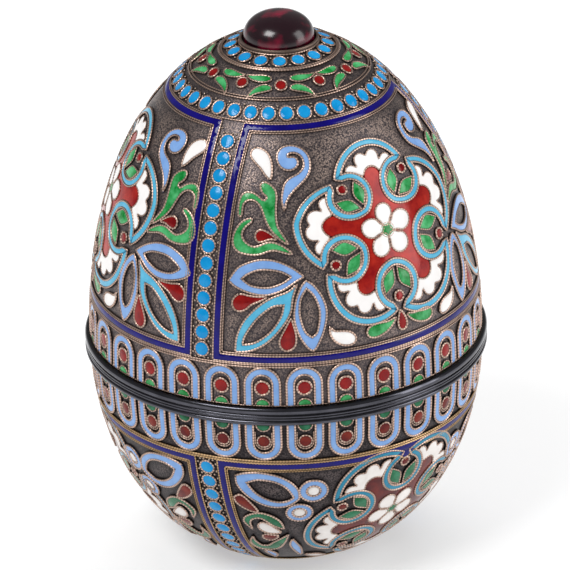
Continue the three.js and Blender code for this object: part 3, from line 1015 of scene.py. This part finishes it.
wire_pieces = []
enamel_pieces = []
for half, layers in (("lid", lid_layers), ("base", base_layers)):
    for layer, laid in layers.items():
        wire_pieces.append(wire_piece(f"{half}_{layer}_wires", laid))
    everything = [pair for laid in layers.values() for pair in laid]
    colours = sorted({c for sheet, _ in everything for c in (*sheet.cells, *sheet.rings)})
    for colour in colours:
        fill = FILLS.get(colour, (FILL_LIFT, DOME))
        piece = enamel_piece(f"{half}_{colour}_enamel", everything, colour, *fill)
        enamel_pieces.append((half, colour, piece))

# %% [markdown]
# ## How high a point stands
# Wear, patina and painted shade follow the height above the ground: the crests of wires are
# worn bright, and their roots are dark with patina and with painted shade. A value called rise
# keeps each point's lift off the outline, which comes from the outline's formula, so that a
# material can read it.

# %% Measure the rise of every point
def lift_of(points):
    """Distance of points in metres from the outline, in millimetres, outwards positive."""
    radius = np.hypot(points[:, 0], points[:, 1]) / MM
    height = points[:, 2] / MM - SEAM
    lid = height >= 0
    reach = np.where(lid, LID_REACH, BASE_REACH)
    taper = np.where(lid, LID_TAPER, BASE_TAPER)
    fullness = np.where(lid, LID_FULLNESS, BASE_FULLNESS)
    share = np.abs(height) / reach
    value = (radius / EGG_RADIUS) ** fullness + share ** taper - 1
    down = fullness * (radius / EGG_RADIUS) ** (fullness - 1) / EGG_RADIUS
    up = taper * share ** (taper - 1) / reach
    return value / np.hypot(down, up)


def mark_rise(piece):
    """Keeps the lift of each of a piece's points, for the wear and painted shade on it."""
    keep_values(piece.data, "rise", lift_of(points_of(piece.data)))


for piece in wire_pieces:
    mark_rise(piece)

# %% [markdown]
# ## Grains
# The ground of the pilasters is filled with tiny silver balls, melted from snips of wire
# and soldered between the dots. Each is a small sphere with few faces, because there are
# hundreds.

# %% Scatter the grains
GRAIN = 0.24
GRAIN_LIFT = GROUND_LIFT + 0.1


def grain_piece(name, laid_spots):
    """One mesh of small balls on spots laid by their places."""
    bm = bmesh.new()
    for spots, place in laid_spots:
        spots = np.array(spots)
        for spot in place(spots[:, 0], spots[:, 1], np.full(len(spots), GRAIN_LIFT)):
            bmesh.ops.create_icosphere(
                bm, subdivisions=1, radius=GRAIN * MM, matrix=Matrix.Translation(Vector(spot)))
    piece = finish_piece(name, mesh_from(bm, name))
    mark_rise(piece)
    return piece


cap_spots = [polar(d, (i + 0.5) * 10 + OUTER_PHASE) for i in range(36) for d in (18.9, 19.5, 21.5)]
cap_spots += [polar(d, (i + 0.5) * 22.5 + INNER_PHASE) for i in range(16) for d in (8.1, 9.9)]
upright = [laid_along(angle + between) for angle in panel_angles]
grain_pieces = [
    grain_piece("lid_grains", [(granules(*LID_DOTS), place) for place in upright]
                + [(cap_spots, laid_on_cap)]),
    grain_piece("base_grains", [(granules(*BASE_DOTS), place) for place in upright]),
]

# %% [markdown]
# ## Turned pieces
# The two shells, the rims and the collet were raised and turned on a lathe, so each is one
# profile spun round the axis. The shells have a true wall: the profile runs up the outside,
# over the mouth and down the gilded inside.

# %% Spin a profile
SHARP_ANGLE = 35
SHELL_TURNS, RIM_TURNS, STONE_TURNS = 264, 180, 96


def turned_piece(name, profile, segments):
    """A closed profile of radius and height in millimetres, spun round the axis."""
    bm = bmesh.new()
    verts = [bm.verts.new((r * MM, 0, (h + SEAM) * MM)) for r, h in profile]
    edges = [bm.edges.new((a, b)) for a, b in zip(verts, verts[1:] + verts[:1])]
    bmesh.ops.spin(
        bm, geom=verts + edges, angle=2 * math.pi, steps=segments, axis=(0, 0, 1),
        cent=(0, 0, 0), use_merge=True,
    )
    bmesh.ops.remove_doubles(bm, verts=bm.verts[:], dist=1e-7)
    on_axis = [edge for edge in bm.edges if not edge.link_faces]
    bmesh.ops.delete(bm, geom=on_axis, context="EDGES")
    bmesh.ops.recalc_face_normals(bm, faces=bm.faces[:])
    mesh = mesh_from(bm, name)
    mesh.set_sharp_from_angle(angle=math.radians(SHARP_ANGLE))
    return finish_piece(name, mesh)


def rounded(corners, radius, steps=4):
    """A closed profile with its corners rounded."""
    corners = np.asarray(corners, float)
    line = []
    for before, corner, after in zip(np.roll(corners, 1, 0), corners, np.roll(corners, -1, 0)):
        to, away = before - corner, after - corner
        cut = min(radius, np.hypot(*to) / 2.1, np.hypot(*away) / 2.1)
        start, end = corner + to / np.hypot(*to) * cut, corner + away / np.hypot(*away) * cut
        for t in np.linspace(0, 1, steps + 1):
            line.append((1 - t) ** 2 * start + 2 * t * (1 - t) * corner + t ** 2 * end)
    return np.array(line)


# %% Turn the two shells
INNER_LIFT = -1.75
LID_RIM, BASE_RIM = 1.9, 1.5
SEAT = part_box("garnet_cabochon")[0].z / MM - SEAM
FOOT = -SEAM
SEAT_WALL = FOOT_WALL = 1.2
SEAT_RADIUS, CAP_OPENING = 7.1, 6.6


def shell_profile(start, end):
    """The outside of a half from one length to another, then back along the inside."""
    outer = np.stack(meridian(np.linspace(start, end, 70), GROUND_LIFT), -1)
    inner = np.stack(meridian(np.linspace(end, start, 24), INNER_LIFT), -1)
    return outer, inner


outer, inner = shell_profile(LID_RIM, LID_ARC - CAP_OPENING)
outer[0][1] = inner[-1][1] = LID_RIM
inner = inner[inner[:, 1] < SEAT - SEAT_WALL]
lid_profile = np.vstack([
    outer, [[SEAT_RADIUS, SEAT], [0, SEAT]],
    [[0, SEAT - SEAT_WALL], [inner[0][0], SEAT - SEAT_WALL]], inner,
])
lid_ground = turned_piece("lid_ground", lid_profile, SHELL_TURNS)

outer, inner = shell_profile(-BASE_RIM, FOOT_ARC)
outer[0][1] = inner[-1][1] = -BASE_RIM
keep = outer[:, 1] > FOOT + 0.4
inner = inner[inner[:, 1] > FOOT + FOOT_WALL]
base_profile = np.vstack([
    outer[keep], [[FOOT_RADIUS + 0.1, FOOT + 0.15], [FOOT_RADIUS - 0.1, FOOT], [0, FOOT]],
    [[0, FOOT + FOOT_WALL], [inner[0][0], FOOT + FOOT_WALL]], inner,
])
base_ground = turned_piece("base_ground", base_profile, SHELL_TURNS)

# %% Turn the rims, the collet and the stone
RIM_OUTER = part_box("lid_rim")[1].x / MM
BORE = EGG_RADIUS - 1.75
tongue = BORE * math.cos(math.pi / 24) - 0.3
lid_rim_profile = [
    (BORE, 0), (RIM_OUTER - 0.1, 0), (RIM_OUTER - 0.1, 0.42), (RIM_OUTER - 0.4, 0.55),
    (RIM_OUTER, 0.8), (RIM_OUTER, 1.45), (RIM_OUTER - 0.35, LID_RIM), (BORE, LID_RIM),
]
base_rim_profile = [
    (tongue - 0.9, -BASE_RIM), (RIM_OUTER - 0.3, -BASE_RIM), (RIM_OUTER, -1.2),
    (RIM_OUTER, -0.75), (RIM_OUTER - 0.35, -0.55), (RIM_OUTER - 0.1, -0.4),
    (RIM_OUTER - 0.1, 0), (tongue, 0), (tongue, 2.6), (tongue - 0.9, 2.6),
]
new_lid_rim = turned_piece("polished_lid_rim", rounded(lid_rim_profile, 0.3, 3), RIM_TURNS)
new_base_rim = turned_piece("polished_base_rim", rounded(base_rim_profile, 0.3, 3), RIM_TURNS)

STONE_RADIUS, STONE_DOME, GIRDLE = 6.35, 4.7, 1.1
COLLET_BORE = STONE_RADIUS + 0.3
COLLET_TOP = SEAT + GIRDLE + 0.05
collet_profile = rounded([
    (COLLET_BORE, SEAT), (COLLET_BORE + 0.5, SEAT), (COLLET_BORE + 0.5, COLLET_TOP),
    (COLLET_BORE, COLLET_TOP),
], 0.2)
new_collet = turned_piece("turned_collet", collet_profile, STONE_TURNS)

swing = np.linspace(0, math.pi / 2, 25)
stone_profile = np.vstack([
    [[0, SEAT], [STONE_RADIUS - 0.3, SEAT], [STONE_RADIUS, SEAT + 0.3]],
    np.stack([STONE_RADIUS * np.cos(swing) ** 0.94,
              SEAT + GIRDLE + STONE_DOME * np.sin(swing) ** 0.86], -1),
])
stone_profile[-1, 0] = 0
new_garnet = turned_piece("polished_garnet", stone_profile, STONE_TURNS)

# %% [markdown]
# ## Patina and painted shade beside the wires
# Polishing reaches the open ground and leaves it pale, but the corners beside the wires keep
# a dark patina, and the same darkening paints the shade that falls beside the wires. A search
# tree of all the wires tells each point of the ground how far away the nearest wire is, and a
# value called open keeps the answer for the material.

# %% Measure how open the ground is
CLOSE, CLEAR = 0.4, 1.6


def mark_open(ground, tree):
    """Keeps 0 for each point close to a wire, 1 for the clear ones, and between for others."""
    mesh = ground.data
    near = np.array([tree.find(vert.co)[2] for vert in mesh.vertices]) / MM
    keep_values(mesh, "open", ((near - CLOSE) / (CLEAR - CLOSE)).clip(0, 1))
    print(f"{mesh.name}: {np.mean(near > CLEAR):.0%} of the ground's points are open")


all_wires = np.vstack(soldered)[::2]
wire_tree = KDTree(len(all_wires))
for number, point in enumerate(all_wires):
    wire_tree.insert(point, number)
wire_tree.balance()
for ground in (lid_ground, base_ground):
    mark_open(ground, wire_tree)

# %% [markdown]
# ## Shared effects
# Three effects repeat from finish to finish, so each is a node group: a fine stipple for
# the matt ground, darkened beside the wires by patina and by painted shade; worn bright crests
# over dark roots for wires, the roots dark with patina and with painted shade; and the slight
# clouds and bubbles of fired glass, paler in each cell's middle as shaded enamel is and as a
# painted highlight.

# %% Node groups
def put(tree, kind, **values):
    made = tree.nodes.new(kind)
    for key, value in values.items():
        setattr(made, key, value)
    return made


def set_inputs(node, values):
    """Writes plain numbers and colours on a node's inputs, by their labels."""
    for label, value in values.items():
        node.inputs[label].default_value = value


def new_group(name, inputs, outputs):
    """A shader group with its sockets, and its two end nodes."""
    tree = bpy.data.node_groups.new(name, "ShaderNodeTree")
    for label, kind, value in inputs:
        socket = tree.interface.new_socket(label, in_out="INPUT", socket_type=kind)
        socket.default_value = value
    for label, kind in outputs:
        tree.interface.new_socket(label, in_out="OUTPUT", socket_type=kind)
    return tree, put(tree, "NodeGroupInput"), put(tree, "NodeGroupOutput")


FLOAT, COLOUR = "NodeSocketFloat", "NodeSocketColor"


def blended(tree, factor, first, second):
    """A colour mix of two sockets or colours."""
    mix = put(tree, "ShaderNodeMix", data_type="RGBA")
    tree.links.new(factor, mix.inputs[0])
    for socket, value in ((mix.inputs[6], first), (mix.inputs[7], second)):
        if hasattr(value, "node"):
            tree.links.new(value, socket)
        else:
            socket.default_value = (*value, 1)
    return mix.outputs[2]


def ranged(tree, source, low, high, to_low=0.0, to_high=1.0):
    """A value mapped from one range to another, and held at its ends."""
    made = put(tree, "ShaderNodeMapRange")
    tree.links.new(source, made.inputs["Value"])
    for label, value in (("From Min", low), ("From Max", high),
                         ("To Min", to_low), ("To Max", to_high)):
        if hasattr(value, "node"):
            tree.links.new(value, made.inputs[label])
        else:
            made.inputs[label].default_value = value
    return made.outputs["Result"]


def noise(tree, scale, detail=2.0, roughness=0.5):
    place = put(tree, "ShaderNodeTexCoord")
    made = put(tree, "ShaderNodeTexNoise")
    set_inputs(made, {"Detail": detail, "Roughness": roughness, "Scale": scale})
    tree.links.new(place.outputs["Object"], made.inputs["Vector"])
    return made.outputs["Fac"]


def kept(tree, name):
    """A value that each point of the mesh keeps."""
    return put(tree, "ShaderNodeAttribute", attribute_name=name).outputs["Fac"]


def product(tree, one, other):
    made = put(tree, "ShaderNodeMath", operation="MULTIPLY")
    tree.links.new(one, made.inputs[0])
    tree.links.new(other, made.inputs[1])
    return made.outputs[0]


# %% The stipple group
tree, start, end = new_group(
    "Stipple", [("Grain", FLOAT, 3300.0), ("Dark", COLOUR, (0.05, 0.04, 0.035, 1)),
                ("Pale", COLOUR, (0.2, 0.17, 0.15, 1))],
    [("Color", COLOUR), ("Height", FLOAT), ("Roughness", FLOAT)])
place = put(tree, "ShaderNodeTexCoord")
pits = put(tree, "ShaderNodeTexVoronoi", feature="F1")
tree.links.new(place.outputs["Object"], pits.inputs["Vector"])
tree.links.new(start.outputs["Grain"], pits.inputs["Scale"])
knobs = ranged(tree, pits.outputs["Distance"], 0.75, 0.1)
clouds = ranged(tree, noise(tree, 180.0, 5.0, 0.7), 0.25, 0.75, 0.35, 1.0)
# The ground near the wires is darkened: partly patina, partly painted shade.
clean_and_unshaded = ranged(tree, kept(tree, "open"), 0.0, 1.0, 0.2, 1.0)
polished_and_unshaded = product(tree, product(tree, knobs, clouds), clean_and_unshaded)
tree.links.new(
    blended(tree, polished_and_unshaded, start.outputs["Dark"], start.outputs["Pale"]),
    end.inputs["Color"])
tree.links.new(knobs, end.inputs["Height"])
tree.links.new(ranged(tree, clouds, 0, 1, 0.56, 0.36), end.inputs["Roughness"])
stipple = tree

# %% The crest wear and painted shade group
tree, start, end = new_group(
    "Crest wear and painted shade", [("Root", COLOUR, (0.04, 0.03, 0.025, 1)),
                     ("Crest", COLOUR, (0.6, 0.47, 0.38, 1)),
                     ("Low", FLOAT, -0.42), ("High", FLOAT, -0.1), ("Neck", FLOAT, 1.0),
                     ("Dull", FLOAT, 0.55), ("Shine", FLOAT, 0.32)],
    [("Color", COLOUR), ("Roughness", FLOAT)])
# Low points and the necks between beads are darker and crests brighter: partly patina and wear,
# partly painted shade.
height_wear_and_shade = ranged(tree, kept(tree, "rise"), start.outputs["Low"], start.outputs["High"])
patches = ranged(tree, noise(tree, 330.0, 3.0, 0.6), 0.25, 0.6, 0.6, 1.0)
swollen = ranged(tree, kept(tree, "bead"), 0.0, 1.0, start.outputs["Neck"], 1.0)
crest_light_and_wear = product(tree, height_wear_and_shade, product(tree, patches, swollen))
tree.links.new(
    blended(tree, crest_light_and_wear, start.outputs["Root"], start.outputs["Crest"]), end.inputs["Color"])
tree.links.new(
    ranged(tree, crest_light_and_wear, 0, 1, start.outputs["Dull"], start.outputs["Shine"]),
    end.inputs["Roughness"])
crest_wear_and_shade = tree

# %% The fired glass group
tree, start, end = new_group(
    "Fired glass", [("Body", COLOUR, (0.2, 0.4, 0.8, 1)), ("Edge", COLOUR, (0.1, 0.2, 0.5, 1)),
                    ("Heart", COLOUR, (0.3, 0.5, 0.9, 1)), ("Clouding", FLOAT, 0.5)],
    [("Color", COLOUR), ("Roughness", FLOAT), ("Height", FLOAT)])
clouds = ranged(tree, noise(tree, 420.0, 3.0, 0.6), 0.35, 0.68)
amount = product(tree, clouds, start.outputs["Clouding"])
cloudy = blended(tree, amount, start.outputs["Body"], start.outputs["Heart"])
# Each cell goes from its edge colour to a paler middle: partly the grading of shaded enamel,
# partly a painted highlight.
edge_grading_and_highlight = ranged(tree, kept(tree, "heart"), 0.1, 0.9)
tree.links.new(blended(tree, edge_grading_and_highlight, start.outputs["Edge"], cloudy), end.inputs["Color"])
tree.links.new(ranged(tree, clouds, 0, 1, 0.08, 0.18), end.inputs["Roughness"])
tree.links.new(noise(tree, 900.0, 2.0), end.inputs["Height"])
fired_glass = tree
print("groups:", [g.name for g in bpy.data.node_groups])

# %% [markdown]
# ## Finishes
# Each finish is one Principled shader. Its plain numbers are set on the shader itself, and
# the groups give it what changes over the surface: colour, roughness and a little relief.

# %% Build the finishes
def plain_finish(name):
    """A new material, its nodes and its shader."""
    made = bpy.data.materials.new(name)
    made.use_nodes = True
    return made, made.node_tree, made.node_tree.nodes["Principled BSDF"]


def finish(name, group, values, metallic, bump=0.0, shine=0.5):
    """A material whose colour and roughness come from one of the groups."""
    made, tree, shader = plain_finish(name)
    set_inputs(shader, {"Metallic": metallic, "Specular IOR Level": shine})
    effect = put(tree, "ShaderNodeGroup", node_tree=group)
    set_inputs(effect, values)
    tree.links.new(effect.outputs["Color"], shader.inputs["Base Color"])
    tree.links.new(effect.outputs["Roughness"], shader.inputs["Roughness"])
    if bump:
        relief = put(tree, "ShaderNodeBump")
        set_inputs(relief, {"Strength": 1.0, "Distance": bump * MM})
        tree.links.new(effect.outputs["Height"], relief.inputs["Height"])
        tree.links.new(relief.outputs["Normal"], shader.inputs["Normal"])
    return made


def srgb(red, green, blue):
    """A colour as the eye reads it, from 0 to 255, as the linear values of a shader."""
    parts = np.array([red, green, blue]) / 255
    linear = np.where(parts <= 0.04045, parts / 12.92, ((parts + 0.055) / 1.055) ** 2.4)
    return (*linear.tolist(), 1)


def glaze(name, body, edge, heart, clouding=0.5, metallic=0.0):
    values = {"Body": srgb(*body), "Edge": srgb(*edge), "Heart": srgb(*heart),
              "Clouding": clouding}
    return finish(name, fired_glass, values, metallic, bump=0.01, shine=0.25)


GLAZES = {
    "turquoise": ((76, 168, 204), (42, 118, 154), (114, 196, 226)),
    "teal": ((30, 122, 152), (14, 80, 104), (54, 150, 182)),
    "sky": ((0, 132, 196), (0, 86, 134), (36, 162, 218)),
    "periwinkle": ((116, 156, 212), (76, 108, 166), (148, 184, 230)),
    "cobalt": ((6, 0, 92), (3, 0, 50), (16, 6, 132)),
    "green": ((0, 118, 42), (0, 58, 24), (104, 206, 140), 0.65),
    "ruby": ((108, 4, 10), (46, 2, 4), (168, 28, 22), 0.6, 0.1),
    "ruby_ground": ((134, 12, 16), (58, 4, 6), (196, 48, 28), 0.6, 0.1),
    "white": ((240, 237, 235), (196, 188, 184), (250, 249, 248), 0.4),
}
# The base's glazes are darker, greyer copies of the lid's: partly the base's own deeper tones,
# partly painted shade on the half that faces down.
DEEPER_AND_SHADED_BASE_GLAZES = {
    "green": ((0, 86, 48), (0, 46, 26), (60, 146, 108), 0.6),
    "ruby": ((84, 6, 8), (36, 2, 3), (146, 44, 14), 0.6, 0.1),
    "ruby_ground": ((70, 10, 16), (32, 4, 7), (128, 36, 20), 0.6),
    "white": ((226, 220, 216), (176, 168, 164), (246, 242, 238), 0.6),
}
glazes = {name: glaze(f"{name}_glaze", *made) for name, made in GLAZES.items()}
deeper_and_shaded_base_glazes = dict(glazes)
for name, made in DEEPER_AND_SHADED_BASE_GLAZES.items():
    deeper_and_shaded_base_glazes[name] = glaze(f"base_{name}_glaze", *made)
wire_silver = finish("wire_silver", crest_wear_and_shade, {
    "Root": srgb(36, 30, 28), "Crest": srgb(230, 198, 180), "Neck": 0.42}, 1.0)
gilded_wire = finish("gilded_wire", crest_wear_and_shade, {
    "Root": srgb(44, 34, 26), "Crest": srgb(226, 188, 142), "Neck": 0.42}, 1.0)
grain_silver = finish("grain_silver", crest_wear_and_shade, {"Low": -0.5, "High": -0.2}, 1.0)
lid_silver = finish("stippled_lid_silver", stipple, {
    "Dark": srgb(65, 60, 64), "Pale": srgb(210, 185, 170)}, 0.8, bump=0.03)
# The base's silver is a darker copy of the lid's: painted shade on the half that faces down.
shaded_base_silver = finish("shaded_stippled_base_silver", stipple, {
    "Dark": srgb(32, 29, 32), "Pale": srgb(124, 111, 109)}, 0.8, bump=0.03)
gilding = finish("satin_gilding", crest_wear_and_shade, {
    "Root": srgb(205, 160, 80), "Crest": srgb(230, 190, 110), "Low": -2.2, "High": -1.5}, 1.0)
rim_black = finish("polished_rim", crest_wear_and_shade, {
    "Root": srgb(12, 12, 14), "Crest": srgb(84, 84, 91), "Low": 0.25, "High": 0.75,
    "Dull": 0.28, "Shine": 0.12}, 1.0)

garnet, tree, shader = plain_finish("garnet")
set_inputs(shader, {"Roughness": 0.2, "IOR": 1.5})
# The brighter crimson patches are painted glints of light inside the stone.
depth = ranged(tree, noise(tree, 260.0, 2.0), 0.5, 0.72)
tree.links.new(blended(tree, depth, srgb(26, 0, 10)[:3], srgb(116, 0, 38)[:3]),
               shader.inputs["Base Color"])

# %% Dress the pieces
for piece in wire_pieces:
    piece.data.materials.append(gilded_wire if piece.name == "base_frame_wires" else wire_silver)
for piece in grain_pieces:
    piece.data.materials.append(grain_silver)
for half, colour, piece in enamel_pieces:
    piece.data.materials.append((glazes if half == "lid" else deeper_and_shaded_base_glazes)[colour])
for ground, silver in ((lid_ground, lid_silver), (base_ground, shaded_base_silver)):
    mark_rise(ground)
    ground.data.materials.append(silver)
    ground.data.materials.append(gilding)
    centres = np.array([face.center for face in ground.data.polygons])
    for face, lift in zip(ground.data.polygons, lift_of(centres)):
        face.material_index = 1 if lift < INNER_LIFT + 0.5 else 0
for rim in (new_lid_rim, new_base_rim):
    mark_rise(rim)
    rim.data.materials.append(rim_black)
mark_rise(new_collet)
new_collet.data.materials.append(finish("collet_silver", crest_wear_and_shade, {
    "Root": srgb(74, 62, 56), "Crest": srgb(196, 170, 154), "Low": 0.0, "High": 1.3}, 1.0))
new_garnet.data.materials.append(garnet)

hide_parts("lid_shell")
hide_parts("base_shell")
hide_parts("lid_rim")
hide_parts("base_rim")
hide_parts("stone_collet")
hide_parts("garnet_cabochon")
dressed = wire_pieces + grain_pieces + [piece for _, _, piece in enamel_pieces]
dressed += [lid_ground, base_ground, new_lid_rim, new_base_rim, new_collet, new_garnet]
for piece in dressed:
    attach(piece, "root")
print("pieces:", len(dressed))

# %% [markdown]
# ## Floor, light and camera
# The egg stands on a plain pale floor, which glows a little so that it stays white, under
# large soft lights. The light from above is kept out of reflections, because it would give
# the stone a white edge. The camera looks down on the egg a little, from far away and
# through a long lens, as in the photograph.

# %% Floor and lights
FLOOR_SIZE = 3.0
bm = bmesh.new()
bmesh.ops.create_grid(bm, x_segments=1, y_segments=1, size=FLOOR_SIZE)
floor = finish_piece("floor", mesh_from(bm, "floor", smooth=False))
pale, tree, shader = plain_finish("pale_floor")
set_inputs(shader, {
    "Base Color": (0.6, 0.6, 0.6, 1), "Roughness": 0.9, "Emission Color": (1, 1, 1, 1),
    "Emission Strength": 0.45})
floor.data.materials.append(pale)

world = bpy.data.worlds.new("studio")
world.use_nodes = True
set_inputs(world.node_tree.nodes["Background"], {"Color": (1, 1, 1, 1), "Strength": 0.28})
bpy.context.scene.world = world

CAMERA_TURN = math.radians(-34.8)
CAMERA_RISE = 0.4408
CAMERA_ROLL = math.radians(1.422)
back = Vector((
    math.sin(CAMERA_TURN) * math.cos(CAMERA_RISE), -math.cos(CAMERA_TURN) * math.cos(CAMERA_RISE),
    math.sin(CAMERA_RISE),
))
level = Vector((math.cos(CAMERA_TURN), math.sin(CAMERA_TURN), 0))
upward = back.cross(level)
seam_centre = Vector((0, 0, SEAM * MM))


def softbox(name, right, up, towards, width, height, power):
    """A soft area light, placed from the camera's view and aimed at the egg."""
    light = bpy.data.lights.new(name, "AREA")
    light.shape = "RECTANGLE"
    light.size, light.size_y = width, height
    light.energy = power
    holder = placed(name, light)
    place = seam_centre + level * right + upward * up + back * towards
    holder.location = place
    holder.rotation_euler = (place - seam_centre).to_track_quat("Z", "Y").to_euler()
    return holder


softbox("left_box", -0.36, 0.44, 0.62, 0.34, 0.34, 4.6)
softbox("right_box", 0.62, 0.1, 0.22, 0.3, 0.7, 2.6)
softbox("top_box", 0.1, 0.9, -0.2, 0.9, 0.5, 5.0).visible_glossy = False

# %% Camera
DISTANCE = 0.972
LENS, SENSOR = 335.2, 36
VIEW_OFFSET = (-0.2, 8.3)

side = level * math.cos(CAMERA_ROLL) - upward * math.sin(CAMERA_ROLL)
above = level * math.sin(CAMERA_ROLL) + upward * math.cos(CAMERA_ROLL)
eye_point = seam_centre + back * DISTANCE
target = seam_centre + (side * VIEW_OFFSET[0] + above * VIEW_OFFSET[1]) * MM
depth_axis = (eye_point - target).normalized()
side = above.cross(depth_axis).normalized()
above = depth_axis.cross(side)
data = bpy.data.cameras.new("camera")
data.lens = LENS
data.sensor_width = SENSOR
camera = placed("camera", data)
camera.matrix_world = Matrix((
    (side.x, above.x, depth_axis.x, eye_point.x),
    (side.y, above.y, depth_axis.y, eye_point.y),
    (side.z, above.z, depth_axis.z, eye_point.z),
    (0, 0, 0, 1),
))
bpy.context.scene.camera = camera
bpy.context.scene.view_settings.view_transform = "Standard"
